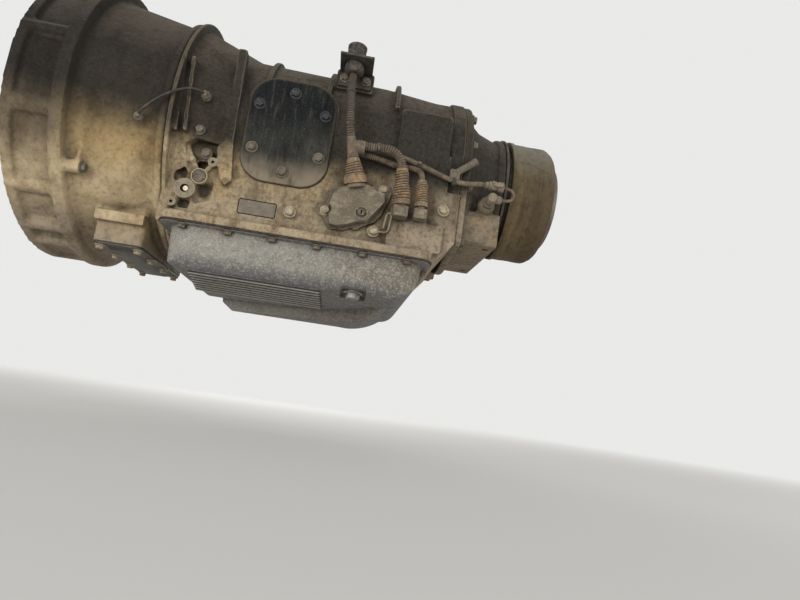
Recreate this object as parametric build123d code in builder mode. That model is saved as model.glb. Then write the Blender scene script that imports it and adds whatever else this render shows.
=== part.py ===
from build123d import *
import os
from math import atan2, cos, degrees, hypot, pi, radians, sin, tan

# Automatic gearbox of a medium truck, with its converter housing, oil pan, selector
# switch, wiring leads and the propshaft brake drum behind its rear housing.
# Millimetres. The origin is the centre of the converter housing's front face, on the
# shaft axis. +X points to the rear, +Z up, and -Y is the side with the wiring.

os.makedirs("parts", exist_ok=True)

# Engine side
FLANGE_R = 225.5
FLANGE_T = 14.0
SPIGOT_R = 204.78
SPIGOT_H = 5.0
ENGINE_PCD = 428.6
ENGINE_BOLTS = 12
ENGINE_BOLT_R = 5.1
ENGINE_BOLT_DEPTH = 32.0
ENGINE_START = 15.0
DOWEL_ANGLES = (244.0, 64.0)
LOBE_R = 12.5
HOOP_X = (66.0, 84.0)
HOOP_R = 230.0
BARREL_R = 212.0
HOUSING_REAR = 213.0
HOUSING_REAR_R = 202.0
PUMP_BORE_R = 110.0

# Main case
CASE_HALF = 158.0
RING_END = 219.5
CASE_BOTTOM = -175.0
RAIL_X = (220.0, 623.0)
RAIL_HALF = 178.0
RAIL_TOP = -160.0
RAIL_CORNER = 22.0
REAR_FLANGE_X = (633.0, 655.0)
REAR_FLANGE_R = 152.0
REAR_SHOULDER_Z = -58.0
REAR_FLANGE_Z = -137.0
PAD_FACE = 168.0

# Oil pan
PAN_WALL = 3.0
PAN_TOP = -178.0
PAN_BOTTOM = -236.0
SUMP_BOTTOM = -256.0
PAN_INSET = 11.0
PAN_TAPER = 4.0
PAN_FRONT_R = 14.0
PAN_REAR_R = 38.0
PAN_SIDE_R = 30.0

# Take-off covers, one on each side
COVER_X = 381.0
COVER_Z = -10.0
COVER_W = 130.0
COVER_H = 165.0
COVER_T = 6.0
COVER_CORNER = 40.0
PAD_PROUD = 2.0

# Tail
TAIL_END = 736.0
SHAFT_R = 24.0
RUNNING = 0.05
DRUM_R = 105.0
DRUM_X = (748.0, 825.0)
PROP_PCD = 120.0


def side_plane(proud):
    """Plane on the wiring side, looking out along -Y, this far from the shaft axis."""
    return Plane.XZ.offset(proud)


def far_plane(proud):
    """Plane on the other side, looking out along +Y. Its first direction is -X."""
    return Plane(origin=(0, proud, 0), x_dir=(-1, 0, 0), z_dir=(0, 1, 0))


def around(radius, angle):
    """Y and Z of a point on a circle about the shaft axis."""
    return radius * cos(radians(angle)), radius * sin(radians(angle))


# Converter housing: an open bell with a flange, threaded lobes that run back to a stiffening
# hoop, a tapering barrel and a flat pad under it for the access cover.
PAD_X = (118.0, 190.0)
PAD_HALF = 120.0
PAD_Z = -212.0
PAD_HEIGHT = 62.0
LEDGE_HALF = 134.0
LEDGE_Z = (-182.0, -166.0)
# Outside of the bell behind its flange, and its inside, as stations along X and radius
BELL_OUTSIDE = (
    (FLANGE_T + 2, 216),
    (HOOP_X[0] - 3, 214),
    (HOOP_X[0], HOOP_R),
    (HOOP_X[1], HOOP_R),
    (HOOP_X[1] + 2, BARREL_R),
    (196, 193),
    (203, HOUSING_REAR_R),
)
BELL_INSIDE = ((70, 198), (84, 202), (194, 184), (199, 176))
BELL_MOUTH_R = 198.0
BELL_BOSS_ANGLE = 214.5
BELL_BOSS_R = 218.0
BELL_BOSS_SIZE = 10.0
BELL_BOSS_HOLE = (3.4, 12.0)
BELL_RIB_T = 6.0
BELL_BOSS_END = 107.0
BARREL_AT_BOSS = 208.7
BREATHER_SEAT = (175.0, -42.0)
BREATHER_FACE = 197.0
CASE_BREATHER_SEAT = (256.0, 14.0)
CASE_BREATHER_FACE = 184.0
BREATHER_SEAT_R = 8.0
SEAT_ROOT = 150.0

with BuildPart() as converter_housing:
    with BuildSketch(Plane.XZ):
        with BuildLine():
            Polyline(
                (-SPIGOT_H, 0),
                (-SPIGOT_H, SPIGOT_R),
                (0, SPIGOT_R),
                (0, FLANGE_R),
                (FLANGE_T, FLANGE_R),
                *BELL_OUTSIDE,
                (HOUSING_REAR, HOUSING_REAR_R),
                (HOUSING_REAR, 0),
                close=True,
            )
        make_face()
    revolve(axis=Axis.X)
    # threaded lobes and the two dowel lobes, from the flange to the hoop
    with BuildSketch(Plane.YZ):
        with PolarLocations(ENGINE_PCD / 2, ENGINE_BOLTS, start_angle=ENGINE_START):
            Circle(LOBE_R)
        for angle in DOWEL_ANGLES:
            with Locations(around(ENGINE_PCD / 2, angle)):
                Circle(LOBE_R)
    extrude(amount=HOOP_X[0])
    # pad under the barrel, with a ledge above it
    with BuildSketch(Plane.XY.offset(PAD_Z)):
        with Locations((sum(PAD_X) / 2, 0)):
            RectangleRounded(PAD_X[1] - PAD_X[0], 2 * PAD_HALF, 6)
    extrude(amount=PAD_HEIGHT)
    with Locations(((PAD_X[0] + PAD_X[1]) / 2, 0, sum(LEDGE_Z) / 2)):
        Box(PAD_X[1] - PAD_X[0], 2 * LEDGE_HALF, LEDGE_Z[1] - LEDGE_Z[0])
    # drilled boss behind the hoop, with a cast rib that runs up the barrel from its end
    boss_y, boss_z = around(BELL_BOSS_R, BELL_BOSS_ANGLE)
    with BuildSketch(Plane.YZ.offset(HOOP_X[1])):
        with Locations((boss_y, boss_z)):
            Circle(BELL_BOSS_SIZE)
    extrude(amount=BELL_BOSS_END - HOOP_X[1])
    with BuildSketch(Plane.YZ.offset(BELL_BOSS_END - BELL_RIB_T - 1)):
        with BuildLine():
            Polyline(
                around(BARREL_AT_BOSS - 6, 216),
                around(BELL_BOSS_R + 8, 213.5),
                around(BARREL_AT_BOSS, 204.5),
                around(BARREL_AT_BOSS - 8, 205),
                close=True,
            )
        make_face()
    extrude(amount=BELL_RIB_T)
    with BuildSketch(Plane.YZ.offset(BELL_BOSS_END)):
        with Locations((boss_y, boss_z)):
            Circle(BELL_BOSS_HOLE[0])
    extrude(amount=-BELL_BOSS_HOLE[1], mode=Mode.SUBTRACT)
    # seat of the breather pipe
    with BuildSketch(side_plane(SEAT_ROOT)):
        with Locations(BREATHER_SEAT):
            Circle(BREATHER_SEAT_R)
    extrude(amount=BREATHER_FACE - SEAT_ROOT)
    # hollow for the converter and the bore for the pump
    with BuildSketch(Plane.XZ):
        with BuildLine():
            Polyline(
                (-SPIGOT_H, 0),
                (-SPIGOT_H, BELL_MOUTH_R),
                *BELL_INSIDE,
                (BELL_INSIDE[-1][0], PUMP_BORE_R),
                (HOUSING_REAR, PUMP_BORE_R),
                (HOUSING_REAR, 0),
                close=True,
            )
        make_face()
    revolve(axis=Axis.X, mode=Mode.SUBTRACT)
    with BuildSketch(Plane.YZ):
        with PolarLocations(ENGINE_PCD / 2, ENGINE_BOLTS, start_angle=ENGINE_START):
            Circle(ENGINE_BOLT_R)
    extrude(amount=ENGINE_BOLT_DEPTH, mode=Mode.SUBTRACT)

# Access cover under the converter housing: a pressed plate with a raised middle.
COVER_PLATE_T = 3.0
COVER_PRESS = (40.0, 190.0, 4.0)

with BuildPart() as access_cover:
    with BuildSketch(Plane.XY.offset(PAD_Z)):
        with Locations(((PAD_X[0] + PAD_X[1]) / 2, 0)):
            RectangleRounded(PAD_X[1] - PAD_X[0], 2 * PAD_HALF - 6, 10)
    extrude(amount=-COVER_PLATE_T)
    with BuildSketch(Plane.XY.offset(PAD_Z - COVER_PLATE_T)):
        with Locations(((PAD_X[0] + PAD_X[1]) / 2, 0)):
            RectangleRounded(COVER_PRESS[0], COVER_PRESS[1], 8)
    extrude(amount=-COVER_PRESS[2], taper=35)

# Torque converter: pilot nose, front cover with threaded lugs, round torus and the hub
# that runs in the pump bore.
LUG_PCD = 290.0
LUG_COUNT = 6
LUG_FACE = 32.0
PILOT_R = 22.0
PILOT_X = (27.0, 42.0)
CONVERTER_R = 172.0
HUB_R = 30.0
HUB_END = 206.0
PUMP_FACE = 196.0

with BuildPart() as torque_converter:
    with BuildSketch(Plane.XZ):
        with BuildLine():
            Polyline(
                (PILOT_X[0], 0),
                (PILOT_X[0], PILOT_R),
                (PILOT_X[1], PILOT_R),
                (PILOT_X[1], 80),
                (48, 150),
            )
            ThreePointArc((48, 150), (55, 166), (68, CONVERTER_R))
            Line((68, CONVERTER_R), (104, CONVERTER_R))
            ThreePointArc((104, CONVERTER_R), (150, 132), (168, 70))
            Polyline((168, 70), (172, HUB_R), (HUB_END, HUB_R), (HUB_END, 0), (PILOT_X[0], 0))
        make_face()
    revolve(axis=Axis.X)
    with BuildSketch(Plane.YZ.offset(LUG_FACE)):
        with PolarLocations(LUG_PCD / 2, LUG_COUNT):
            Circle(15)
    extrude(amount=24)
    with BuildSketch(Plane.YZ.offset(LUG_FACE)):
        with PolarLocations(LUG_PCD / 2, LUG_COUNT):
            Circle(ENGINE_BOLT_R)
    extrude(amount=18, mode=Mode.SUBTRACT)

# Main case: a round upper body over a flat-sided lower one, cast with a pan rail, front
# ring, rear flange, ribs, take-off pads, a boss cluster in hollows and a bare plate recess.
# Boss table: X, Z, radius, how far its face stands from the shaft axis
BOSSES = (
    (248.0, -124.5, 15.0, 168.0),
    (265.5, -103.5, 11.5, 169.0),
    (280.0, -78.0, 7.0, 167.0),
    (268.0, -66.0, 8.0, 163.0),
    (250.0, -78.0, 5.0, 165.0),
    (233.0, -147.0, 7.0, 167.0),
    (402.0, -132.0, 9.0, 161.0),
    (454.0, -121.0, 9.5, 160.0),
    (534.0, -74.0, 9.0, 160.0),
    (529.0, -140.0, 9.0, 161.0),
    (630.0, -90.0, 9.0, 163.0),
)
# Webs between bosses of the cluster: X and Z of both ends
WEBS = (
    (248.0, -124.5, 265.5, -103.5),
    (265.5, -103.5, 280.0, -78.0),
    (265.5, -103.5, 250.0, -78.0),
    (248.0, -124.5, 233.0, -147.0),
    (250.0, -78.0, 236.0, -53.0),
    (236.0, -53.0, 249.0, -44.0),
    (268.0, -66.0, 280.0, -78.0),
)
WEB_W = 7.0
WEB_FACE = 164.0
CLUSTER_ROOT = 144.0
# Recess of the cluster under the upper front panel, as an outline in X and Z
RECESS = (
    (238, -58),
    (252, -47),
    (296, -47),
    (300, -60),
    (300, -156),
    (222, -156),
    (222, -110),
    (244, -88),
)
# Ridges down the front: X and Z of both ends
RIDGES = ((217, 70, 225, -48), (230, 70, 238, -46))
RIDGE_W = 6.0
RIDGE_FACE = 192.0
# Pilaster rib beside the take-off pad, as an outline in X and Z
PILASTER = (
    (284, 110),
    (298, 110),
    (303, -40),
    (311, -100),
    (302, -110),
    (292, -98),
    (281, -54),
    (290, -40),
)
PILASTER_FACE = 166.0
# Crown of the case: stations along X and radius behind the front ring
CROWN = ((RING_END, 191), (305, 160), (520, 156), (REAR_FLANGE_X[0], 146))
RING_R = 205.0
CROWN_RIB_R = 166.0
CROWN_RIBS = (330.0, 424.0, 534.0)
PLATE_RECESS = (353.5, -134.0, 57.0, 24.0, 1.5)
# Hollows round the cluster: outline in X and Z, and depth
HOLLOWS = (
    (((238, -54), (249, -46), (285, -46), (282, -68), (270, -76), (247, -74)), 7),
    (((224, -84), (238, -84), (246, -98), (242, -110), (228, -112)), 9),
    (((256, -76), (273, -76), (274, -92), (258, -92)), 14),
    (((268, -112), (285, -104), (283, -134), (264, -141), (257, -136)), 5),
    (((238, -139), (257, -139), (255, -151), (240, -151)), 10),
)

with BuildPart() as main_case:
    with BuildSketch(Plane.XZ):
        with BuildLine():
            Polyline(
                (HOUSING_REAR, 0),
                (HOUSING_REAR, RING_R),
                (RING_END, RING_R),
                *CROWN,
                (REAR_FLANGE_X[0], REAR_FLANGE_R),
                (REAR_FLANGE_X[1], REAR_FLANGE_R),
                (REAR_FLANGE_X[1], 0),
                close=True,
            )
        make_face()
    revolve(axis=Axis.X)
    # flat-sided lower body
    with BuildSketch(Plane.YZ.offset(HOUSING_REAR)):
        with Locations((0, CASE_BOTTOM / 2)):
            Rectangle(2 * CASE_HALF, -CASE_BOTTOM)
    extrude(amount=REAR_FLANGE_X[0] - HOUSING_REAR)
    with BuildSketch(Plane.YZ.offset(REAR_FLANGE_X[0])):
        with Locations((0, (CASE_BOTTOM + REAR_SHOULDER_Z) / 2)):
            Rectangle(2 * CASE_HALF, REAR_SHOULDER_Z - CASE_BOTTOM)
    extrude(amount=REAR_FLANGE_X[1] - REAR_FLANGE_X[0])
    # nothing of the round body hangs below the pan face behind the front ring
    with Locations(((RING_END + REAR_FLANGE_X[1]) / 2, 0, CASE_BOTTOM - 40)):
        Box(REAR_FLANGE_X[1] - RING_END, 460, 80, mode=Mode.SUBTRACT)
    # behind the pan the underside rises to the rear flange
    with BuildSketch(Plane.XZ):
        with BuildLine():
            Polyline(
                (RAIL_X[1] + 2, CASE_BOTTOM),
                (REAR_FLANGE_X[1], REAR_FLANGE_Z),
                (REAR_FLANGE_X[1] + 5, REAR_FLANGE_Z),
                (REAR_FLANGE_X[1] + 5, CASE_BOTTOM - 5),
                (RAIL_X[1] + 2, CASE_BOTTOM - 5),
                close=True,
            )
        make_face()
    extrude(amount=CASE_HALF + 20, both=True, mode=Mode.SUBTRACT)
    # pan rail
    with BuildSketch(Plane.XY.offset(CASE_BOTTOM)):
        with Locations((sum(RAIL_X) / 2, 0)):
            RectangleRounded(RAIL_X[1] - RAIL_X[0], 2 * RAIL_HALF, RAIL_CORNER)
    extrude(amount=RAIL_TOP - CASE_BOTTOM)
    # the flat recess under the upper front panel, on the wiring side
    with BuildSketch(side_plane(CASE_HALF)):
        with BuildLine():
            Polyline(*RECESS, close=True)
        make_face()
    extrude(amount=40, mode=Mode.SUBTRACT)
    # hollows of the boss cluster, then its bosses and the webs between them
    for outline, depth in HOLLOWS:
        with BuildSketch(side_plane(CASE_HALF)):
            with BuildLine():
                Polyline(*outline, close=True)
            make_face()
            fillet(vertices(), 3)
        extrude(amount=-depth, mode=Mode.SUBTRACT)
    for x, z, radius, face in BOSSES:
        with BuildSketch(side_plane(CLUSTER_ROOT)):
            with Locations((x, z)):
                Circle(radius)
        extrude(amount=face - CLUSTER_ROOT)
    for x1, z1, x2, z2 in WEBS:
        with BuildSketch(side_plane(CLUSTER_ROOT)):
            with Locations(((x1 + x2) / 2, (z1 + z2) / 2)):
                SlotOverall(
                    hypot(x2 - x1, z2 - z1) + WEB_W,
                    WEB_W,
                    rotation=degrees(atan2(z2 - z1, x2 - x1)),
                )
        extrude(amount=WEB_FACE - CLUSTER_ROOT)
    # two cast ridges down the front, above the ledge
    for x1, z1, x2, z2 in RIDGES:
        with BuildSketch(side_plane(CASE_HALF)):
            with Locations(((x1 + x2) / 2, (z1 + z2) / 2)):
                SlotOverall(
                    hypot(x2 - x1, z2 - z1),
                    RIDGE_W,
                    rotation=degrees(atan2(z2 - z1, x2 - x1)),
                )
        extrude(amount=RIDGE_FACE - CASE_HALF)
    # pilaster rib beside the take-off pad, and its fellow on the far side
    with BuildSketch(side_plane(CASE_HALF - 10)):
        with BuildLine():
            Polyline(*PILASTER, close=True)
        make_face()
        fillet(vertices(), 3)
    extrude(amount=PILASTER_FACE - CASE_HALF + 10)
    with BuildSketch(far_plane(CASE_HALF - 10)):
        with Locations((-294, 0)):
            RectangleRounded(16, 220, 4)
    extrude(amount=PILASTER_FACE - CASE_HALF + 10)
    # take-off pads
    for plane, x in ((side_plane(CASE_HALF - 30), COVER_X), (far_plane(CASE_HALF - 30), -COVER_X)):
        with BuildSketch(plane):
            with Locations((x, COVER_Z)):
                RectangleRounded(COVER_W + 8, COVER_H + 8, COVER_CORNER + 4)
        extrude(amount=30 + PAD_PROUD)
    # bare recess for a plate
    with BuildSketch(side_plane(CASE_HALF)):
        with Locations(PLATE_RECESS[0:2]):
            RectangleRounded(*PLATE_RECESS[2:4], 3)
    extrude(amount=-PLATE_RECESS[4], mode=Mode.SUBTRACT)
    # raised pad at the lower rear, with the seats of the sockets above it
    with BuildSketch(side_plane(CASE_HALF - 5)):
        with Locations((591, -138.5)):
            RectangleRounded(84, 43, 5)
        with Locations((563.5, -114)):
            RectangleRounded(28, 34, 5)
        with Locations((593.5, -113)):
            RectangleRounded(25, 34, 5)
    extrude(amount=PAD_FACE - CASE_HALF + 5)
    # raised panel at the upper rear
    with BuildSketch(side_plane(CASE_HALF - 60)):
        with Locations((588, 22)):
            RectangleRounded(86, 92, 7)
    extrude(amount=61, taper=2)
    # seat of the harness bracket, high on the wiring side
    with BuildSketch(side_plane(100)):
        with Locations((465, 108)):
            RectangleRounded(60, 34, 4)
    extrude(amount=36)
    # seat of the breather pipe's other end
    with BuildSketch(side_plane(SEAT_ROOT)):
        with Locations(CASE_BREATHER_SEAT):
            Circle(BREATHER_SEAT_R)
    extrude(amount=CASE_BREATHER_FACE - SEAT_ROOT)
    # ribs round the crown and one along it
    for x in CROWN_RIBS:
        with BuildSketch(Plane.YZ.offset(x)):
            with BuildLine():
                CenterArc((0, 0), CROWN_RIB_R, 25, 130)
                Line(PolarLine((0, 0), CROWN_RIB_R, 155) @ 1, (0, 0))
                Line((0, 0), PolarLine((0, 0), CROWN_RIB_R, 25) @ 1)
            make_face()
        extrude(amount=8)
    with BuildSketch(Plane.XY.offset(140)):
        with Locations((430, 0)):
            Rectangle(430, 10)
    extrude(amount=27)
    # pump boss, whose bore carries the converter hub
    with BuildSketch(Plane.YZ.offset(HOUSING_REAR)):
        Circle(PUMP_BORE_R - 0.2)
    extrude(amount=PUMP_FACE - HOUSING_REAR)
    with BuildSketch(Plane.YZ.offset(PUMP_FACE)):
        Circle(HUB_R + RUNNING)
    extrude(amount=15, mode=Mode.SUBTRACT)

converter_housing.part.label = "converter_housing"
export_step(converter_housing.part, "parts/converter_housing.step")
access_cover.part.label = "access_cover"
export_step(access_cover.part, "parts/access_cover.step")
torque_converter.part.label = "torque_converter"
export_step(torque_converter.part, "parts/torque_converter.step")
main_case.part.label = "main_case"
export_step(main_case.part, "parts/main_case.step")

# Take-off covers: flat plates with large corner radii.
for label, plane, x in (
    ("takeoff_cover_near", side_plane(CASE_HALF + PAD_PROUD), COVER_X),
    ("takeoff_cover_far", far_plane(CASE_HALF + PAD_PROUD), -COVER_X),
):
    with BuildPart() as takeoff_cover:
        with BuildSketch(plane):
            with Locations((x, COVER_Z)):
                RectangleRounded(COVER_W, COVER_H, COVER_CORNER)
        extrude(amount=COVER_T)
        fillet(takeoff_cover.faces().sort_by(Axis.Y)[0 if x > 0 else -1].edges(), 1.5)
    takeoff_cover.part.label = label
    export_step(takeoff_cover.part, f"parts/{label}.step")


# Oil pan: a pressed shell in two levels, with lengthwise ribs under the shallow one and a
# recess for the drain plug.
RIB_COUNT = 8
RIB_PITCH = 24.0
RIB_NEAR = -128.0
RIB_REAR = 464.0
RIB_FRONT = 266.0
RIB_STAGGER = 3.5
RIB_W = 10.0
RIB_H = 5.0
DRAIN = (514.0, -118.0)
DRAIN_RECESS = (40.0, 74.0, 8.0)
DRAIN_WASHER = (15.0, 3.0)
DRAIN_HEAD = (11.5, 9.0)
PAN_CORNER = (40.0, 36.0)
# Plan of the sump where it meets the floor and at its own floor: it lies on the far side
# and widens towards the rear
SUMP_TOP_PLAN = (
    (264, 160),
    (266, 142),
    (316, 134),
    (447, 86),
    (517, 32),
    (556, -56),
    (607, -56),
    (607, 160),
)
SUMP_LOW_PLAN = (
    (270, 156),
    (272, 149),
    (319, 142),
    (451, 94),
    (523, 38),
    (563, -48),
    (607, -48),
    (607, 156),
)
SUMP_HALF = (60.0, 164.0)
SUMP_X = (262.0, 608.0)
SUMP_RISE_END = 290.0
SUMP_FLAT_END = 500.0
SUMP_BEND = 572.0
# Height above the shallow floor to which the filled sump form reaches
SUMP_REACH = 44.0


def sump_form(inset):
    """Filled form of the sump, shrunk by inset: its curved profile held to its plan."""
    floor = SUMP_BOTTOM + inset
    front = SUMP_X[0] + inset
    rear = SUMP_X[1] - inset
    top = PAN_BOTTOM + SUMP_REACH
    with BuildPart(mode=Mode.PRIVATE) as sump:
        with BuildSketch(Plane.XZ.offset(-SUMP_HALF[1])):
            with BuildLine():
                Polyline(
                    (rear, top),
                    (front, top),
                    (front, PAN_BOTTOM),
                    (SUMP_RISE_END + inset, floor),
                    (SUMP_FLAT_END, floor),
                )
                ThreePointArc(
                    (SUMP_FLAT_END, floor),
                    (SUMP_BEND - inset / 2, PAN_BOTTOM - 1 + inset),
                    (rear, top),
                )
            make_face()
        extrude(amount=sum(SUMP_HALF))
    with BuildPart(mode=Mode.PRIVATE) as walls:
        for plan, level in ((SUMP_TOP_PLAN, top), (SUMP_LOW_PLAN, SUMP_BOTTOM - 2)):
            with BuildSketch(Plane.XY.offset(level)):
                with BuildLine():
                    Polyline(*plan, close=True)
                make_face()
                if inset:
                    offset(amount=-inset, kind=Kind.INTERSECTION)
        loft(ruled=True)
    return sump.part & walls.part


def pan_form(inset):
    """Filled form of the pan's walls and floor, shrunk by inset: it tapers all round, and
    its lower edges are rounded, most at the rear."""
    length = RAIL_X[1] - RAIL_X[0] - 2 * (PAN_INSET + inset)
    width = 2 * (RAIL_HALF - PAN_INSET - inset)
    lean = (PAN_TOP - PAN_BOTTOM) * tan(radians(PAN_TAPER))
    middle = sum(RAIL_X) / 2
    floor = PAN_BOTTOM + inset
    with BuildPart(mode=Mode.PRIVATE) as form:
        with BuildSketch(Plane.XY.offset(PAN_TOP)):
            with Locations((middle, 0)):
                RectangleRounded(length, width, PAN_CORNER[0] - inset)
        with BuildSketch(Plane.XY.offset(floor)):
            with Locations((middle, 0)):
                RectangleRounded(length - 2 * lean, width - 2 * lean, PAN_CORNER[1] - inset)
        loft(ruled=True)
        with BuildSketch(Plane.XZ) as side_view:
            with Locations((middle, (PAN_TOP + floor) / 2)):
                Rectangle(length - 2 * lean + 1, PAN_TOP - floor)
            front, rear = side_view.vertices().group_by(Axis.Y)[0].sort_by(Axis.X)
            fillet(front, PAN_FRONT_R - inset)
            fillet(side_view.vertices().group_by(Axis.Y)[0].sort_by(Axis.X)[-1], PAN_REAR_R - inset)
            with Locations((middle, PAN_TOP - 9)):
                Rectangle(length + 10, 18)
        extrude(amount=width / 2 + 5, both=True, mode=Mode.INTERSECT)
        with BuildSketch(Plane.YZ) as end_view:
            with Locations((0, (PAN_TOP + floor) / 2)):
                Rectangle(width - 2 * lean + 1, PAN_TOP - floor)
            fillet(end_view.vertices().group_by(Axis.Y)[0], PAN_SIDE_R - inset)
            with Locations((0, PAN_TOP - 9)):
                Rectangle(width + 10, 18)
        extrude(amount=RAIL_X[1] + 5, mode=Mode.INTERSECT)
    return form.part


def drain_block(inset):
    """Block that the drain recess takes out of the pan, grown by inset."""
    length, width, depth = DRAIN_RECESS
    with BuildPart(mode=Mode.PRIVATE) as block:
        with BuildSketch(Plane.XY.offset(PAN_BOTTOM + depth + inset)):
            with Locations(DRAIN):
                RectangleRounded(length + 2 * inset, width + 2 * inset, 5 + inset)
        extrude(amount=-depth - 30)
    return block.part


pan_outside = pan_form(0) + sump_form(0) - drain_block(0)
pan_inside = pan_form(PAN_WALL) + sump_form(PAN_WALL) - drain_block(PAN_WALL)

with BuildPart() as oil_pan:
    with BuildSketch(Plane.XY.offset(CASE_BOTTOM)):
        with Locations((sum(RAIL_X) / 2, 0)):
            RectangleRounded(RAIL_X[1] - RAIL_X[0], 2 * RAIL_HALF, RAIL_CORNER)
    extrude(amount=PAN_TOP - CASE_BOTTOM)
    add(pan_outside)
    # ribs under the shallow floor, staggered along its front edge
    with BuildSketch(Plane.XY.offset(PAN_BOTTOM + 1)):
        for i in range(RIB_COUNT):
            front = RIB_FRONT - i * RIB_STAGGER
            with Locations(((front + RIB_REAR) / 2, RIB_NEAR + i * RIB_PITCH)):
                SlotOverall(RIB_REAR - front, RIB_W)
    extrude(amount=-RIB_H - 1)
    # hollow it, leaving the wall all round and under the drain recess
    add(pan_inside, mode=Mode.SUBTRACT)
    with BuildSketch(Plane.XY.offset(CASE_BOTTOM)):
        with Locations((sum(RAIL_X) / 2, 0)):
            RectangleRounded(
                RAIL_X[1] - RAIL_X[0] - 2 * (PAN_INSET + PAN_WALL),
                2 * (RAIL_HALF - PAN_INSET - PAN_WALL),
                PAN_CORNER[0] - PAN_WALL,
            )
    extrude(amount=PAN_TOP - CASE_BOTTOM, mode=Mode.SUBTRACT)

# Drain plug: a washer face and a hexagon head in the pan's recess.
with BuildPart() as drain_plug:
    with BuildSketch(Plane.XY.offset(PAN_BOTTOM + DRAIN_RECESS[2])):
        with Locations(DRAIN):
            Circle(DRAIN_WASHER[0])
    extrude(amount=-DRAIN_WASHER[1])
    with BuildSketch(Plane.XY.offset(PAN_BOTTOM + DRAIN_RECESS[2] - DRAIN_WASHER[1])):
        with Locations(DRAIN):
            RegularPolygon(DRAIN_HEAD[0], 6)
    extrude(amount=-DRAIN_HEAD[1])

oil_pan.part.label = "oil_pan"
export_step(oil_pan.part, "parts/oil_pan.step")
drain_plug.part.label = "drain_plug"
export_step(drain_plug.part, "parts/drain_plug.step")

# Boots over the plugs of the leads. Each stands on a short neck of the same axis.
# Columns: name, base centre, tip centre, base radius, tip radius, and the stations between
# them as distance from the base and radius
BOOTS = (
    (
        "switch_boot",
        (492, -176.5, -76),
        (482.5, -185, -40.5),
        17.5,
        9,
        ((9, 17), (12, 15.5), (26, 12.5)),
    ),
    (
        "solenoid_boot",
        (563.5, -184, -99),
        (557, -190, -46),
        11.5,
        8.5,
        ((3, 13), (15, 14), (25, 12.8), (33, 10.2), (46, 10.6)),
    ),
    (
        "valve_boot",
        (593.5, -180, -97),
        (590, -178, -54),
        9.7,
        6.5,
        ((7, 10.4), (15, 9), (24, 9.8), (36, 9.6)),
    ),
)
NECK_INSET = 3.0
NECK_DEPTH = 6.0


def boot_line(row):
    """Vector from the centre of a boot's base to that of its tip."""
    return Vector(*row[2]) - Vector(*row[1])


def boot_plane(row):
    """Plane through a boot's axis, which is its first direction."""
    along = boot_line(row)
    return Plane(origin=row[1], x_dir=along, z_dir=along.cross(Vector(0, 1, 0)))


def neck_plane(row):
    """Plane of a boot's base, looking along the boot."""
    return Plane(origin=row[1], x_dir=(0, 1, 0.2), z_dir=boot_line(row))


# Selector switch: a domed fan-shaped housing on a thin plate, which has two bolt ears and
# a drilled one. A ring round the selector shaft stands out of its face.
SWITCH_PLATE = (
    (456, -85),
    (468, -81),
    (484, -78.5),
    (509, -73),
    (520, -71),
    (526, -66),
    (543, -66),
    (549, -77),
    (546, -90),
    (541, -101),
    (537, -114),
    (528, -127),
    (510, -137),
    (502.5, -144),
    (495, -141),
    (484, -147),
    (465, -147),
    (456, -140),
    (453, -132),
    (443, -128),
    (442, -115),
    (452, -109),
    (456, -97),
)
SWITCH_COVER = (
    (472, -85),
    (484, -80),
    (509, -74.5),
    (518, -77),
    (525, -82),
    (538, -83),
    (540, -98),
    (517, -131),
    (501, -135.5),
    (488, -142),
    (474, -146),
    (462, -145),
    (457, -118),
    (461, -98),
)
SWITCH_BOLTS = ((453.5, -121.5), (535.5, -75))
SWITCH_EYE = (462.0, -89.5)
SWITCH_FACE = 160.0
SWITCH_PLATE_T = 4.0
SWITCH_T = 20.0
HUB = (507.0, -121.0)
HUB_RING_R = 10.5
HUB_COLLAR_R = 6.5
HUB_COLLAR_H = 1.0

with BuildPart() as selector_switch:
    with BuildSketch(side_plane(SWITCH_FACE)):
        with BuildLine():
            Polyline(*SWITCH_PLATE, close=True)
        make_face()
        fillet(vertices(), 2.5)
        with Locations(SWITCH_EYE):
            Circle(2.6, mode=Mode.SUBTRACT)
    extrude(amount=SWITCH_PLATE_T)
    with BuildSketch(side_plane(SWITCH_FACE + SWITCH_PLATE_T)):
        with BuildLine():
            Polyline(*SWITCH_COVER, close=True)
        make_face()
        fillet(vertices(), 3)
        with Locations(*SWITCH_BOLTS):
            Circle(8.5, mode=Mode.SUBTRACT)
    extrude(amount=SWITCH_T - SWITCH_PLATE_T, taper=3)
    with BuildSketch(side_plane(SWITCH_FACE + SWITCH_T)):
        with Locations(HUB):
            Circle(HUB_RING_R)
            Circle(HUB_RING_R - 2.5, mode=Mode.SUBTRACT)
    extrude(amount=2.5)
    with BuildSketch(side_plane(SWITCH_FACE + SWITCH_T)):
        with Locations(HUB):
            Circle(HUB_COLLAR_R)
    extrude(amount=HUB_COLLAR_H)
    # neck for the boot
    with BuildSketch(neck_plane(BOOTS[0])):
        Circle(BOOTS[0][3] - NECK_INSET)
    extrude(amount=-NECK_DEPTH)

# Selector shaft end: it stands out of the switch's hub, with a slot across it.
with BuildPart() as selector_shaft:
    with BuildSketch(side_plane(SWITCH_FACE + SWITCH_T + HUB_COLLAR_H)):
        with Locations(HUB):
            Circle(4.8)
            Rectangle(2, 7, mode=Mode.SUBTRACT)
    extrude(amount=5)

# Selector lever on the far side, clamped to the other end of the same shaft.
LEVER_FOOT = 14.0
LEVER_T = 6.0
LEVER_LENGTH = 61.0
LEVER_EYE = (-HUB[0], HUB[1] + LEVER_LENGTH)

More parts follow.
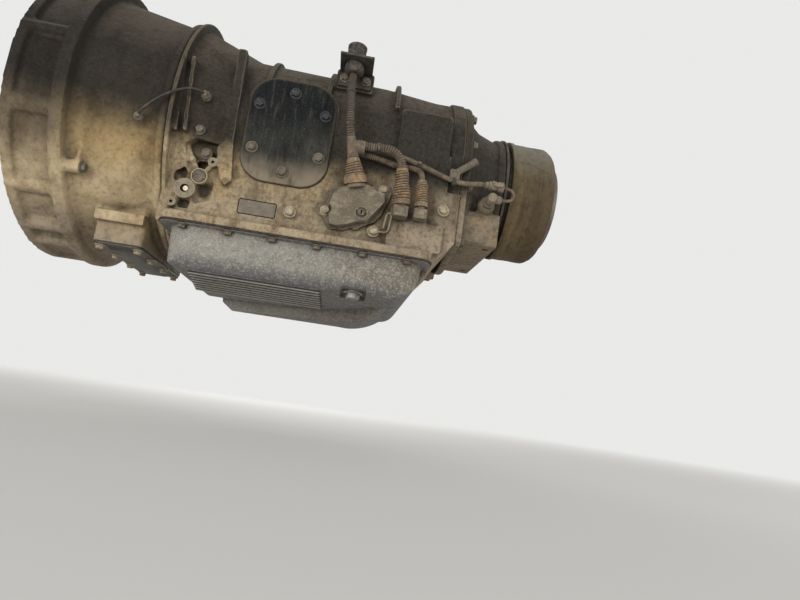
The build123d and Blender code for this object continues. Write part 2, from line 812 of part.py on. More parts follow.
with BuildPart() as selector_lever:
    with BuildSketch(far_plane(CASE_HALF)):
        with Locations((-HUB[0], HUB[1])):
            Circle(9)
    extrude(amount=LEVER_FOOT + LEVER_T + 2)
    with BuildSketch(far_plane(CASE_HALF + LEVER_FOOT)):
        with BuildLine():
            Polyline(
                (-HUB[0] - 14, HUB[1]),
                (LEVER_EYE[0] - 5, LEVER_EYE[1]),
                (LEVER_EYE[0] + 5, LEVER_EYE[1]),
                (-HUB[0] + 14, HUB[1]),
                close=True,
            )
        make_face()
        with Locations((-HUB[0], HUB[1])):
            Circle(15)
        with Locations(LEVER_EYE):
            Circle(9)
    extrude(amount=LEVER_T)
    with BuildSketch(far_plane(CASE_HALF + LEVER_FOOT + LEVER_T)):
        with Locations(LEVER_EYE):
            Circle(5)
    extrude(amount=14)

selector_switch.part.label = "selector_switch"
export_step(selector_switch.part, "parts/selector_switch.step")
selector_shaft.part.label = "selector_shaft"
export_step(selector_shaft.part, "parts/selector_shaft.step")
selector_lever.part.label = "selector_lever"
export_step(selector_lever.part, "parts/selector_lever.step")

# The boots themselves: turned profiles that swell and narrow along each boot.
for row in BOOTS:
    label, base, tip, base_r, tip_r, stations = row
    length = boot_line(row).length
    with BuildPart() as boot:
        with BuildSketch(boot_plane(row)):
            with BuildLine():
                Polyline((0, 0), (0, base_r), *stations, (length, tip_r), (length, 0), close=True)
            make_face()
        revolve(axis=Axis(base, boot_line(row)))
    boot.part.label = label
    export_step(boot.part, f"parts/{label}.step")

# Sockets on their seats above the lower rear pad, into which two of the leads plug from
# above. Columns: name, row of its boot, half width, bottom, how far its face stands out
for label, row, half, bottom, face in (
    ("solenoid_socket", BOOTS[1], 11.0, -118.5, 193.0),
    ("valve_socket", BOOTS[2], 10.0, -116.0, 188.0),
):
    x, _, top = row[1]
    with BuildPart() as socket:
        with BuildSketch(side_plane(PAD_FACE)):
            with Locations((x, (top - 3 + bottom) / 2)):
                RectangleRounded(2 * half, top - 3 - bottom, 2)
        extrude(amount=face - PAD_FACE)
        chamfer(socket.faces().sort_by(Axis.Y)[0].edges(), 1.5)
        with BuildSketch(neck_plane(row)):
            Circle(row[3] - NECK_INSET)
        extrude(amount=-NECK_DEPTH - 3)
    socket.part.label = label
    export_step(socket.part, f"parts/{label}.step")

# Branch sleeve: the taped joint where the leads leave the harness trunk above the
# switch's boot.
TRUNK_R = 6.0
SLEEVE_BASE = Vector(*BOOTS[0][2])
SLEEVE_DIR = boot_line(BOOTS[0]).normalized()
SLEEVE_LENGTH = 32.0
BRANCH_X = (474.0, 498.0)
BRANCH_AT = (-184.0, -24.0)
BRANCH_SIZE = (30.0, 20.0)
BRANCH_STRAIGHT = 10.0

SLEEVE_TOP = SLEEVE_BASE + SLEEVE_DIR * SLEEVE_LENGTH

with BuildPart() as branch_sleeve:
    with BuildSketch(Plane(origin=SLEEVE_BASE, x_dir=(0, 1, 0.33), z_dir=SLEEVE_DIR)):
        Circle(BOOTS[0][4])
    with BuildSketch(Plane(origin=SLEEVE_TOP, x_dir=(0, 1, 0.33), z_dir=SLEEVE_DIR)):
        Circle(TRUNK_R + 0.5)
    loft(ruled=True)
    # the branch: a rounded throat towards the rear that holds the three leads
    with BuildSketch(Plane.YZ.offset(BRANCH_X[0])):
        with Locations((SLEEVE_BASE.Y - 3, BRANCH_AT[1])):
            RectangleRounded(13, 13, 6)
    with BuildSketch(Plane.YZ.offset(BRANCH_X[1] - BRANCH_STRAIGHT)):
        with Locations(BRANCH_AT):
            RectangleRounded(*BRANCH_SIZE, 9)
    loft(ruled=True)
    with BuildSketch(Plane.YZ.offset(BRANCH_X[1])):
        with Locations(BRANCH_AT):
            RectangleRounded(*BRANCH_SIZE, 9)
    extrude(amount=-BRANCH_STRAIGHT)
branch_sleeve.part.label = "branch_sleeve"
export_step(branch_sleeve.part, "parts/branch_sleeve.step")

# Bracket and plug of the vehicle's harness, high on the case. The trunk enters from below.
PLUG_AT = (462.0, -165.0)
PLUG_R = 15.0
PLUG_Z = (102.0, 150.0)
BRACKET_Z = (118.0, 121.0)
BRACKET_X = 465.0
BRACKET_W = 52.0
BRACKET_SEAT = 136.0
PLUG_COLLAR = (42.0, 4.0)

with BuildPart() as harness_bracket:
    with BuildSketch(side_plane(BRACKET_SEAT)):
        with Locations((BRACKET_X, 108)):
            Rectangle(BRACKET_W, 26)
    extrude(amount=3)
    with BuildSketch(Plane.XY.offset(BRACKET_Z[0])):
        with Locations((BRACKET_X, -164.6)):
            Rectangle(BRACKET_W, 57)
        with Locations(PLUG_AT):
            Circle(PLUG_R + 0.2, mode=Mode.SUBTRACT)
    extrude(amount=BRACKET_Z[1] - BRACKET_Z[0])
harness_bracket.part.label = "harness_bracket"
export_step(harness_bracket.part, "parts/harness_bracket.step")

with BuildPart() as harness_plug:
    with BuildSketch(Plane.XY.offset(PLUG_Z[0])):
        with Locations(PLUG_AT):
            Circle(PLUG_R)
    extrude(amount=PLUG_Z[1] - PLUG_Z[0])
    with BuildSketch(Plane.XY.offset(BRACKET_Z[1])):
        with Locations(PLUG_AT):
            RectangleRounded(PLUG_COLLAR[0], PLUG_COLLAR[0], 6)
    extrude(amount=PLUG_COLLAR[1])
harness_plug.part.label = "harness_plug"
export_step(harness_plug.part, "parts/harness_plug.step")


# Leads and small pipes: tubes along straight runs joined by tangent arcs.
def route_radii(points):
    """Radius of each corner, 0.45 of the shorter run over the tangent of half the turn."""
    radii = []
    for a, b, c in zip(points, points[1:], points[2:]):
        first = Vector(*b) - Vector(*a)
        second = Vector(*c) - Vector(*b)
        half_turn = radians(first.get_angle(second)) / 2
        radii.append(0.45 * min(first.length, second.length) / tan(half_turn))
    return radii


def tube(label, points, radius):
    """Make one tube along a route and write it."""
    radii = route_radii(points)
    with BuildPart() as pipe:
        with BuildLine() as route:
            FilletPolyline(*points, radius=radii)
        with BuildSketch(Plane(origin=route.line @ 0, z_dir=route.line % 0)):
            Circle(radius)
        sweep()
    length = sum(edge.length for edge in route.line.edges())
    ratio = pipe.part.volume / (pi * radius**2 * length)
    print(label, "radii", [round(r, 1) for r in radii], "volume ratio", round(ratio, 3))
    pipe.part.label = label
    export_step(pipe.part, f"parts/{label}.step")


SOLENOID_TIP = Vector(*BOOTS[1][2])
SOLENOID_DIR = boot_line(BOOTS[1]).normalized()
VALVE_TIP = Vector(*BOOTS[2][2])
VALVE_DIR = boot_line(BOOTS[2]).normalized()

FILL_TUBE_R = 14.0
FILL_TOP = Vector(576, 190, 150)
FILL_BEND = Vector(584, 194, 40)
SENSOR_PLUG_X = (698.0, 722.0)
SENSOR_PLUG_AT = (-152.0, -33.0)
SENSOR_AT = (706.0, -53.0)
SENSOR_SEAT = 120.0

# Columns: name, route, radius
LEADS = (
    (
        "harness_trunk",
        (
            tuple(SLEEVE_TOP),
            tuple(SLEEVE_TOP + SLEEVE_DIR * 16),
            (467, -197, 38),
            (463, -182, 66),
            (462, -165, 84),
            (*PLUG_AT, PLUG_Z[0]),
        ),
        TRUNK_R,
    ),
    (
        "solenoid_lead",
        (
            (BRANCH_X[1], -191, -22),
            (514, -191, -22),
            (538, -193, -20),
            tuple(SOLENOID_TIP + SOLENOID_DIR * 13),
            tuple(SOLENOID_TIP),
        ),
        6.5,
    ),
    (
        "valve_lead",
        (
            (BRANCH_X[1], -175, -29.3),
            (516, -175, -30),
            (552, -172, -37),
            (577, -174, -36),
            tuple(VALVE_TIP + VALVE_DIR * 12),
            tuple(VALVE_TIP),
        ),
        4.5,
    ),
    (
        "sensor_lead",
        (
            (BRANCH_X[1], -175, -19),
            (518, -175, -19),
            (560, -170, -20),
            (604, -170, -33),
            (634, -169, -42),
            (660, -163, -42),
            (682, -152, -33),
            (SENSOR_PLUG_X[0], *SENSOR_PLUG_AT),
        ),
        4.0,
    ),
    (
        "sensor_pigtail",
        (
            (SENSOR_PLUG_X[1], *SENSOR_PLUG_AT),
            (735, -152, -33),
            (742, -151, -43),
            (735, -150, -53),
            (SENSOR_PLUG_X[1], -150, SENSOR_AT[1]),
        ),
        2.5,
    ),
    (
        "breather_pipe",
        (
            (BREATHER_SEAT[0], -BREATHER_FACE, BREATHER_SEAT[1]),
            (BREATHER_SEAT[0], -BREATHER_FACE - 11, BREATHER_SEAT[1]),
            (190, -211, -24),
            (212, -212, -4),
            (236, -206, 12),
            (CASE_BREATHER_SEAT[0], -CASE_BREATHER_FACE - 12, CASE_BREATHER_SEAT[1]),
            (CASE_BREATHER_SEAT[0], -CASE_BREATHER_FACE, CASE_BREATHER_SEAT[1]),
        ),
        2.0,
    ),
    (
        "fill_tube",
        (
            (590, CASE_HALF, -100),
            (590, 186, -100),
            (588, 194, -66),
            tuple(FILL_BEND),
            tuple(FILL_TOP),
        ),
        FILL_TUBE_R,
    ),
)
for label, points, radius in LEADS:
    tube(label, points, radius)

# Cap of the fill tube, square to its last run.
with BuildPart() as fill_cap:
    with BuildSketch(Plane(origin=FILL_TOP, x_dir=(0, 1, 0.04), z_dir=FILL_TOP - FILL_BEND)):
        Circle(FILL_TUBE_R + 4)
    extrude(amount=14)
fill_cap.part.label = "fill_cap"
export_step(fill_cap.part, "parts/fill_cap.step")

# Sensor plug and, below it, the speed sensor in the rear housing.
with BuildPart() as sensor_plug:
    with BuildSketch(Plane.YZ.offset(SENSOR_PLUG_X[0])):
        with Locations(SENSOR_PLUG_AT):
            Circle(8.5)
    extrude(amount=SENSOR_PLUG_X[1] - SENSOR_PLUG_X[0])
sensor_plug.part.label = "sensor_plug"
export_step(sensor_plug.part, "parts/sensor_plug.step")

with BuildPart() as speed_sensor:
    with BuildSketch(side_plane(SENSOR_SEAT)):
        with Locations(SENSOR_AT):
            Circle(12)
    extrude(amount=5)
    with BuildSketch(side_plane(SENSOR_SEAT)):
        with Locations(SENSOR_AT):
            Circle(8)
    extrude(amount=38)
    with BuildSketch(Plane.YZ.offset(SENSOR_AT[0])):
        with Locations((-150, SENSOR_AT[1])):
            Circle(6.5)
    extrude(amount=SENSOR_PLUG_X[1] - SENSOR_AT[0])
speed_sensor.part.label = "speed_sensor"
export_step(speed_sensor.part, "parts/speed_sensor.step")

# Vent stub: a short leaning pipe on a foot, beside the upper rear panel.
VENT_FOOT = (641.0, -157.0, -29.0)
VENT_LEAN = (29, 0, 24)

with BuildPart() as vent_stub:
    with Locations(VENT_FOOT):
        Box(16, 12, 18)
    with BuildSketch(Plane(origin=(*VENT_FOOT[0:2], -26), x_dir=(0, 1, 0), z_dir=VENT_LEAN)):
        Circle(5.5)
    extrude(amount=42)
vent_stub.part.label = "vent_stub"
export_step(vent_stub.part, "parts/vent_stub.step")

# Cooler unions on the far side: a hexagon and a hose stub.
UNION_Z = -130.0
UNION_HEX_T = 12.0

for label, x in (("cooler_union_front", 300.0), ("cooler_union_rear", 470.0)):
    with BuildPart() as union:
        with BuildSketch(far_plane(CASE_HALF)):
            with Locations((-x, UNION_Z)):
                RegularPolygon(15, 6)
        extrude(amount=UNION_HEX_T)
        with BuildSketch(far_plane(CASE_HALF + UNION_HEX_T)):
            with Locations((-x, UNION_Z)):
                Circle(9)
        extrude(amount=26)
    union.part.label = label
    export_step(union.part, f"parts/{label}.step")

# Rear housing: a flanged cone with the shaft's bore, and a wing on each side whose
# underside carries the rear support.
WING_X = (661.0, 733.0)
WING_HALF = 110.0
WING_Z = (-119.0, -62.0)
SUPPORT_X = 697.0
SUPPORT_SPACING = (44.0, 170.0)
REAR_BORE_DEPTH = 36.0
# Cone behind the round flange: stations along X and radius
CONE_FOOT = (REAR_FLANGE_X[1] + 16, 128)
CONE = (CONE_FOOT, (690, 112), (724, 100), (724, 106), (TAIL_END, 106))
REAR_ROUND_T = 12.0
REAR_SQUARE_T = 10.0
WING_PANEL = (684.0, -95.0, 45.0, 44.0)

with BuildPart() as rear_housing:
    with BuildSketch(Plane.XZ):
        with BuildLine():
            Polyline(
                (REAR_FLANGE_X[1], 0),
                (REAR_FLANGE_X[1], REAR_FLANGE_R - 2),
                (REAR_FLANGE_X[1] + REAR_ROUND_T, REAR_FLANGE_R - 2),
                *CONE,
                (TAIL_END, 0),
                close=True,
            )
        make_face()
    revolve(axis=Axis.X)
    # square lower part of its flange
    with BuildSketch(Plane.YZ.offset(REAR_FLANGE_X[1])):
        with Locations((0, (REAR_SHOULDER_Z + REAR_FLANGE_Z) / 2)):
            RectangleRounded(2 * CASE_HALF - 8, REAR_SHOULDER_Z - REAR_FLANGE_Z, 8)
    extrude(amount=REAR_SQUARE_T)
    with BuildSketch(Plane.YZ.offset(WING_X[0])):
        with Locations((0, sum(WING_Z) / 2)):
            RectangleRounded(2 * WING_HALF, WING_Z[1] - WING_Z[0], 6)
    extrude(amount=WING_X[1] - WING_X[0])
    for plane, x in (
        (side_plane(WING_HALF - 4), WING_PANEL[0]),
        (far_plane(WING_HALF - 4), -WING_PANEL[0]),
    ):
        with BuildSketch(plane):
            with Locations((x, WING_PANEL[1])):
                RectangleRounded(*WING_PANEL[2:4], 3)
        extrude(amount=7)
    with BuildSketch(side_plane(80)):
        with Locations(SENSOR_AT):
            Circle(14)
    extrude(amount=SENSOR_SEAT - 80)
    with BuildSketch(Plane.XY.offset(WING_Z[0])):
        with Locations((SUPPORT_X, 0)):
            with GridLocations(*SUPPORT_SPACING, 2, 2):
                Circle(ENGINE_BOLT_R)
    extrude(amount=25, mode=Mode.SUBTRACT)
    with BuildSketch(Plane.YZ.offset(TAIL_END)):
        Circle(SHAFT_R + RUNNING)
    extrude(amount=-REAR_BORE_DEPTH, mode=Mode.SUBTRACT)
rear_housing.part.label = "rear_housing"
export_step(rear_housing.part, "parts/rear_housing.step")

# Propshaft brake: backing plate and its two shoes on the rear housing.
BACKING_R = 108.0
BACKING_T = 5.0
SHOE_R = (80.0, 91.0)
SHOE_W = 60.0
LEVER_END = (150.0, 33.0)

with BuildPart() as backing_plate:
    with BuildSketch(Plane.YZ.offset(TAIL_END)):
        Circle(BACKING_R)
        with Locations((BACKING_R + 10, 24)):
            RectangleRounded(44, 32, 5)
        Circle(40, mode=Mode.SUBTRACT)
    extrude(amount=BACKING_T)
backing_plate.part.label = "backing_plate"
export_step(backing_plate.part, "parts/backing_plate.step")

with BuildPart() as brake_shoes:
    with BuildSketch(Plane.YZ.offset(TAIL_END + BACKING_T)):
        Circle(SHOE_R[1])
        Circle(SHOE_R[0], mode=Mode.SUBTRACT)
        Rectangle(50, 2 * SHOE_R[1] + 18, mode=Mode.SUBTRACT)
    extrude(amount=SHOE_W)
brake_shoes.part.label = "brake_shoes"
export_step(brake_shoes.part, "parts/brake_shoes.step")

# Brake lever in front of the backing plate, where the hand brake's cable hooks on.
with BuildPart() as brake_lever:
    with BuildSketch(Plane.YZ.offset(TAIL_END)):
        with BuildLine():
            Polyline((107, 12), (LEVER_END[0], 26), (LEVER_END[0], 40), (107, 36), close=True)
        make_face()
        with Locations(LEVER_END):
            Circle(9)
            Circle(4, mode=Mode.SUBTRACT)
    extrude(amount=-5)
brake_lever.part.label = "brake_lever"
export_step(brake_lever.part, "parts/brake_lever.step")

# Output shaft: runs in the rear bore and carries the companion flange and drum.
SHAFT_X = (TAIL_END - REAR_BORE_DEPTH + 6, 818.0)
FLANGE_BORE = SHAFT_R + 0.2
FLANGE_HUB_R = 34.0
FLANGE_NECK_R = 47.0
FLANGE_FACE_R = 75.0
FLANGE_REAR = 837.0
DRUM_BORE = FLANGE_NECK_R + 0.2
PROP_BOLT_R = 5.25

with BuildPart() as output_shaft:
    with BuildSketch(Plane.YZ.offset(SHAFT_X[0])):
        Circle(SHAFT_R)
    extrude(amount=SHAFT_X[1] - SHAFT_X[0])
    with BuildSketch(Plane.YZ.offset(SHAFT_X[1])):
        RegularPolygon(SHAFT_R, 6)
    extrude(amount=12)
output_shaft.part.label = "output_shaft"
export_step(output_shaft.part, "parts/output_shaft.step")

with BuildPart() as companion_flange:
    with BuildSketch(Plane.XZ):
        with BuildLine():
            Polyline(
                (760, FLANGE_BORE),
                (760, FLANGE_HUB_R),
                (DRUM_X[1] - 10, FLANGE_HUB_R),
                (DRUM_X[1] - 10, FLANGE_NECK_R),
                (DRUM_X[1], FLANGE_NECK_R),
                (DRUM_X[1], FLANGE_FACE_R),
                (FLANGE_REAR, FLANGE_FACE_R),
                (FLANGE_REAR, 35),
                (FLANGE_REAR + 3, 35),
                (FLANGE_REAR + 3, 29),
                (SHAFT_X[1], 29),
                (SHAFT_X[1], FLANGE_BORE),
                close=True,
            )
        make_face()
    revolve(axis=Axis.X)
    with BuildSketch(Plane.YZ.offset(DRUM_X[1])):
        with PolarLocations(PROP_PCD / 2, 4, start_angle=45):
            Circle(PROP_BOLT_R)
    extrude(amount=FLANGE_REAR - DRUM_X[1], mode=Mode.SUBTRACT)
companion_flange.part.label = "companion_flange"
export_step(companion_flange.part, "parts/companion_flange.step")

with BuildPart() as brake_drum:
    with BuildSketch(Plane.XZ):
        with BuildLine():
            Polyline(
                (DRUM_X[0], 97),
                (DRUM_X[0], DRUM_R + 2),
                (DRUM_X[0] + 8, DRUM_R + 2),
                (DRUM_X[0] + 9, DRUM_R),
                (DRUM_X[1] - 12, DRUM_R),
                (DRUM_X[1], 96),
                (DRUM_X[1], DRUM_BORE),
                (DRUM_X[1] - 9, DRUM_BORE),
                (DRUM_X[1] - 9, 88),
                (DRUM_X[1] - 18, 97),
                close=True,
            )
        make_face()
    revolve(axis=Axis.X)
    with BuildSketch(Plane.YZ.offset(DRUM_X[1])):
        with PolarLocations(PROP_PCD / 2, 4, start_angle=45):
            Circle(PROP_BOLT_R)
    extrude(amount=-10, mode=Mode.SUBTRACT)
brake_drum.part.label = "brake_drum"
export_step(brake_drum.part, "parts/brake_drum.step")
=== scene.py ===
import bmesh
import bpy
import numpy as np
from mathutils import Matrix, Vector


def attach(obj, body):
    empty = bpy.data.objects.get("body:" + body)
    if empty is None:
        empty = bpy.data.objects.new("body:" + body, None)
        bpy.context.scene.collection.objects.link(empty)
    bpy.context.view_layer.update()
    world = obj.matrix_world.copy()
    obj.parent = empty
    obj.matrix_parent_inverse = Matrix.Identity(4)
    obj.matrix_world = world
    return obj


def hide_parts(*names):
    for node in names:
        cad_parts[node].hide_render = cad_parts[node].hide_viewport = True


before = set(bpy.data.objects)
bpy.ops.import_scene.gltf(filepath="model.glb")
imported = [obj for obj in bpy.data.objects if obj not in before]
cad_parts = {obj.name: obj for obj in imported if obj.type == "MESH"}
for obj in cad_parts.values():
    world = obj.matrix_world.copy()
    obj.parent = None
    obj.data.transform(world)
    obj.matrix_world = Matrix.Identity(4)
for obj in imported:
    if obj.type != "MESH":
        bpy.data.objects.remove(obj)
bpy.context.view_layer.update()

# Converter housing: an open bell of sand-cast aluminium that bolts to the engine by the
# threaded lobes of its flange. It is one casting with soft edges, and its grainy skin holds
# road dust, ochre on the side and greyer where water has run.
MM = 0.001


def linear(colour):
    """Hex sRGB colour as the linear values of a shader: the sRGB curve undone on each part."""
    part = np.array([int(colour[i:i + 2], 16) for i in (1, 3, 5)]) / 255
    part = np.where(part <= 0.04045, part / 12.92, ((part + 0.055) / 1.055) ** 2.4)
    return (*part, 1.0)


def add(tree, kind, output=0, settings=(), **inputs):
    """One shader node: its settings, its inputs by name, or by number as i0 and i1, each a
    value or a socket to link. It gives the output that is asked for."""
    node = tree.nodes.new("ShaderNode" + kind)
    for name, value in dict(settings).items():
        setattr(node, name, value)
    for name, value in inputs.items():
        socket = node.inputs[int(name[1:]) if name[1:].isdigit() else name.replace("_", " ")]
        if isinstance(value, bpy.types.NodeSocket):
            tree.links.new(value, socket)
        else:
            socket.default_value = value
    return node.outputs[output]


def cloud(tree, size, low, high, share=1.0, stretch=(1, 1, 1), detail=6.0, shift=0.0):
    """Blotches about size mm across, stretched along the axes: noise, opened out so that low
    reads 0 and high reads the share. Shift moves the place that is read, so that clouds differ."""
    place = add(tree, "TexCoord", "Object")
    place = add(tree, "Mapping", Vector=place, Scale=stretch, Location=(shift, shift, shift))
    noise = add(tree, "TexNoise", Vector=place, Scale=1 / (size * MM), Detail=detail, Roughness=0.6)
    return add(tree, "MapRange", Value=noise, From_Min=low, From_Max=high, To_Max=share)


# Edge of a band of dust, in mm: the length of its waves, and how far they carry it
WAVE_LENGTH = 90
WAVE_REACH = 80
# Lumps of a stain, in mm, and its edge in parts of its reach: where it starts, where it is full
STAIN_LUMPS = 18
STAIN_EDGE = (1.5, 0.9)
# Shifts in metres, so that no two coats share their blotches
LAYER_SHIFT = 0.7
GRIT_SHIFT = 3.1
# Pointiness at which an edge starts to show wear, and at which it shows all of it
EDGE_WEAR = (0.52, 0.60)
# Openness of a corner at which painted shade starts in it, and at which it is full
CORNER_SHADE = (0.9, 0.3)


def weathered(name, roughness, metallic, base, layers, grain, bands=(), stains=(), grit=(),
              facing=(), worn=None, crease_shade=None, hollow_shade=None, gloss=0.5):
    """Finish in coats over a base colour, each mixed in by how far it spreads. A layer's row is
    its colour, the size of its blotches, the noise at which they start and are full, its share,
    and a stretch. A band: axis, colour, where it starts and is full, share. A stain: colour,
    place, reach, share. Facing: colour, how far up the face looks where it starts and is full,
    share. Grit: blend rule, then as a layer. Worn edges: colour, share. Painted shade deep in
    the folds of creased pieces: colour, share. Painted shade in hollow corners, by how closed in
    they are: colour, reach, share. Grain is bump, as size and depth. Real grain and grit are
    mostly finer than half a millimetre, too fine to show from here, so they are drawn as coarse
    as it takes to see them. Sizes, places and depths in mm."""
    made = bpy.data.materials.new(name)
    made.use_nodes = True
    tree = made.node_tree
    shader = tree.nodes["Principled BSDF"]
    shader.inputs["Roughness"].default_value = roughness
    shader.inputs["Metallic"].default_value = metallic
    shader.inputs["Specular IOR Level"].default_value = gloss
    place = add(tree, "TexCoord", "Object")
    soft = {"interpolation_type": "SMOOTHSTEP"}
    coats = []
    for count, (over, *row) in enumerate(layers):
        coats.append(("MIX", over, cloud(tree, *row, shift=count * LAYER_SHIFT)))
    for axis, over, start, end, share in bands:
        waves = cloud(tree, WAVE_LENGTH, 0.0, 1.0, WAVE_REACH * MM, detail=3.0)
        level = add(tree, "SeparateXYZ", axis, Vector=place)
        level = add(tree, "Math", 0, {"operation": "ADD"}, i0=level, i1=waves)
        spread = add(tree, "MapRange", 0, soft, Value=level, From_Min=(start + WAVE_REACH / 2) * MM,
                     From_Max=(end + WAVE_REACH / 2) * MM, To_Max=share)
        coats.append(("MIX", over, spread))
    for over, x, y, z, reach, share in stains:
        lumps = cloud(tree, STAIN_LUMPS, 0.0, 1.0, reach * MM)
        middle = (x * MM, y * MM, z * MM)
        away = add(tree, "VectorMath", "Value", {"operation": "DISTANCE"}, i0=place, i1=middle)
        away = add(tree, "Math", 0, {"operation": "ADD"}, i0=away, i1=lumps)
        spread = add(tree, "MapRange", 0, soft, Value=away, From_Min=reach * STAIN_EDGE[0] * MM,
                     From_Max=reach * STAIN_EDGE[1] * MM, To_Max=share)
        coats.append(("MIX", over, spread))
    for over, start, end, share in facing:
        upward = add(tree, "SeparateXYZ", "Z", Vector=add(tree, "NewGeometry", "Normal"))
        spread = add(tree, "MapRange", Value=upward, From_Min=start, From_Max=end, To_Max=share)
        coats.append(("MIX", over, spread))
    for count, (rule, over, *row) in enumerate(grit):
        coats.append((rule, over, cloud(tree, *row, shift=GRIT_SHIFT + count)))
    if worn:
        over, share = worn
        edge = add(tree, "NewGeometry", "Pointiness")
        spread = add(tree, "MapRange", Value=edge, From_Min=EDGE_WEAR[0], From_Max=EDGE_WEAR[1],
                     To_Max=share)
        coats.append(("MIX", over, spread))
    # Painted shade: darker deep in the folds, where shade falls between them
    if crease_shade:
        over, share = crease_shade
        depth = add(tree, "Attribute", "Fac", {"attribute_name": "crease"})
        spread = add(tree, "Math", 0, {"operation": "MULTIPLY"}, i0=depth, i1=share)
        coats.append(("MIX", over, spread))
    # Painted shade: darker in corners, by how closed in they are (ambient occlusion)
    if hollow_shade:
        over, reach, share = hollow_shade
        openness = add(tree, "AmbientOcclusion", "AO", {"samples": 6}, Distance=reach * MM)
        spread = add(tree, "MapRange", Value=openness, From_Min=CORNER_SHADE[0],
                     From_Max=CORNER_SHADE[1], To_Max=share)
        coats.append(("MIX", over, spread))
    colour = linear(base)
    for rule, over, spread in coats:
        colour = add(tree, "MixRGB", 0, {"blend_type": rule}, Fac=spread, Color1=colour,
                     Color2=linear(over))
    tree.links.new(colour, shader.inputs["Base Color"])
    under = {}
    for size, depth in grain:
        height = cloud(tree, size, 0.3, 0.7, detail=3.0, shift=size)
        bump = add(tree, "Bump", Height=height, Distance=depth * MM, Strength=1.0, **under)
        under = {"Normal": bump}
    tree.links.new(bump, shader.inputs["Normal"])
    return made


def present(name, mesh, finish, body, slot, *nodes):
    """The mesh as a smooth piece with its finish, on its body, standing for the nodes named."""
    mesh.materials.clear()
    mesh.materials.append(finish)
    mesh.polygons.foreach_set("use_smooth", np.ones(len(mesh.polygons), bool))
    mesh.set_sharp_from_angle(angle=np.radians(40))
    piece = bpy.data.objects.new(name, mesh)
    bpy.context.scene.collection.objects.link(piece)
    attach(piece, body)
    if nodes:
        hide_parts(*nodes)
    return piece


def cast_skin(node, spacing, rounds, *shapes, most=190000):
    """Surface of a solid and the closed shapes added to it, rebuilt together on a grid of that
    spacing in mm and relaxed, so that they join in fillets as one casting. Past that many
    triangles it is thinned where it is flattest."""
    form = bmesh.new()
    form.from_mesh(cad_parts[node].data)
    for corners, faces in shapes:
        extra = bpy.data.meshes.new("extra")
        extra.from_pydata(corners * MM, [], faces)
        form.from_mesh(extra)
        bpy.data.meshes.remove(extra)
    bmesh.ops.remove_doubles(form, verts=form.verts, dist=0.00001)
    joined = bpy.data.meshes.new(node + "_joined")
    form.to_mesh(joined)
    form.free()
    carrier = bpy.data.objects.new(node + "_carrier", joined)
    bpy.context.scene.collection.objects.link(carrier)
    rebuild = carrier.modifiers.new("rebuild", "REMESH")
    rebuild.mode = "VOXEL"
    rebuild.voxel_size = spacing * MM
    relax = carrier.modifiers.new("relax", "SMOOTH")
    relax.factor = 0.5
    relax.iterations = rounds
    skin = bpy.data.meshes.new_from_object(carrier.evaluated_get(bpy.context.evaluated_depsgraph_get()))
    triangles = sum(len(face.vertices) - 2 for face in skin.polygons)
    if triangles > most:
        thin = carrier.modifiers.new("thin", "DECIMATE")
        thin.ratio = most / triangles
        skin = bpy.data.meshes.new_from_object(carrier.evaluated_get(bpy.context.evaluated_depsgraph_get()))
    bpy.data.objects.remove(carrier)
    return skin


# Sand-cast aluminium: matt and grainy, ochre with dust, and near black above, partly oil mist and
# partly painted shade from above. The sand leaves grains of about 0.4 mm, too fine to show here, so they
# are drawn at 1.3 mm and more
bell_casting = weathered(
    "sand_cast_bell", 0.9, 0.0, "#A38D66",
    [
        ("#7C6C53", 110, 0.42, 0.60, 0.6),
        ("#A98B5B", 70, 0.46, 0.62, 0.6),
        ("#5F5546", 12, 0.57, 0.72, 0.4, (1, 1, 0.3)),
        ("#BDA984", 4, 0.54, 0.66, 0.3),
    ],
    [(1.3, 0.25), (4, 0.3), (11, 0.4)],
    bands=[
        ("X", "#5F564A", 112, 64, 0.8),
        ("Z", "#CBB793", -85, -135, 0.7),
        ("Z", "#8F8271", -165, -205, 0.8),
        # Painted shade: near black towards the top, partly oil mist
        ("Z", "#24221F", -100, -8, 0.97),
    ],
    stains=[("#3F382E", 175, -190, -42, 16, 0.6), ("#4A4136", 160, -180, -150, 22, 0.5)],
    grit=[
        ("MULTIPLY", "#B5AEA2", 7, 0.48, 0.72, 0.7),
        ("MULTIPLY", "#BDB5A8", 30, 0.48, 0.68, 0.7, (1, 1, 0.4)),
        ("SCREEN", "#3A3226", 3.2, 0.54, 0.70, 0.5),
    ],
    # Painted shade: faces turned up, and less so faces turned down, darker than the sides
    facing=[("#6F6557", 0.3, 0.95, 0.75), ("#7A6E60", -0.55, -0.95, 0.4)],
    hollow_shade=("#2B241C", 22, 0.75),
    gloss=0.25,
)
present("converter_housing_skin", cast_skin("converter_housing", 2.6, 3), bell_casting,
        "housing", "housing_casting", "converter_housing")

# Torque converter: two pressed steel shells welded round the rim, with a pilot nose and
# threaded lugs in front and the hub that drives the pump behind. Oil film has tanned it.
BACK = (1, 0, 0)


def grid(points, ring=False):
    """Quads over rows of points, where each row closes on itself. The first and last row are
    capped, or joined to each other where the profile is a ring."""
    index = np.arange(points.shape[0] * points.shape[1]).reshape(points.shape[:2])
    lower, upper = (index, np.roll(index, -1, 0)) if ring else (index[:-1], index[1:])
    quads = np.stack([lower, np.roll(lower, -1, 1), np.roll(upper, -1, 1), upper], -1)
    faces = quads.reshape(-1, 4).tolist()
    if not ring:
        faces += [index[0, ::-1].tolist(), index[-1].tolist()]
    return points.reshape(-1, 3), faces


def ways_round(axis, angle):
    """Directions square to a unit axis, at each angle round it: the cosine times a first one,
    plus the sine times a second that is square to both."""
    first = np.array(Vector(axis).orthogonal().normalized())
    second = np.cross(axis, first)
    return np.cos(angle)[:, None] * first + np.sin(angle)[:, None] * second


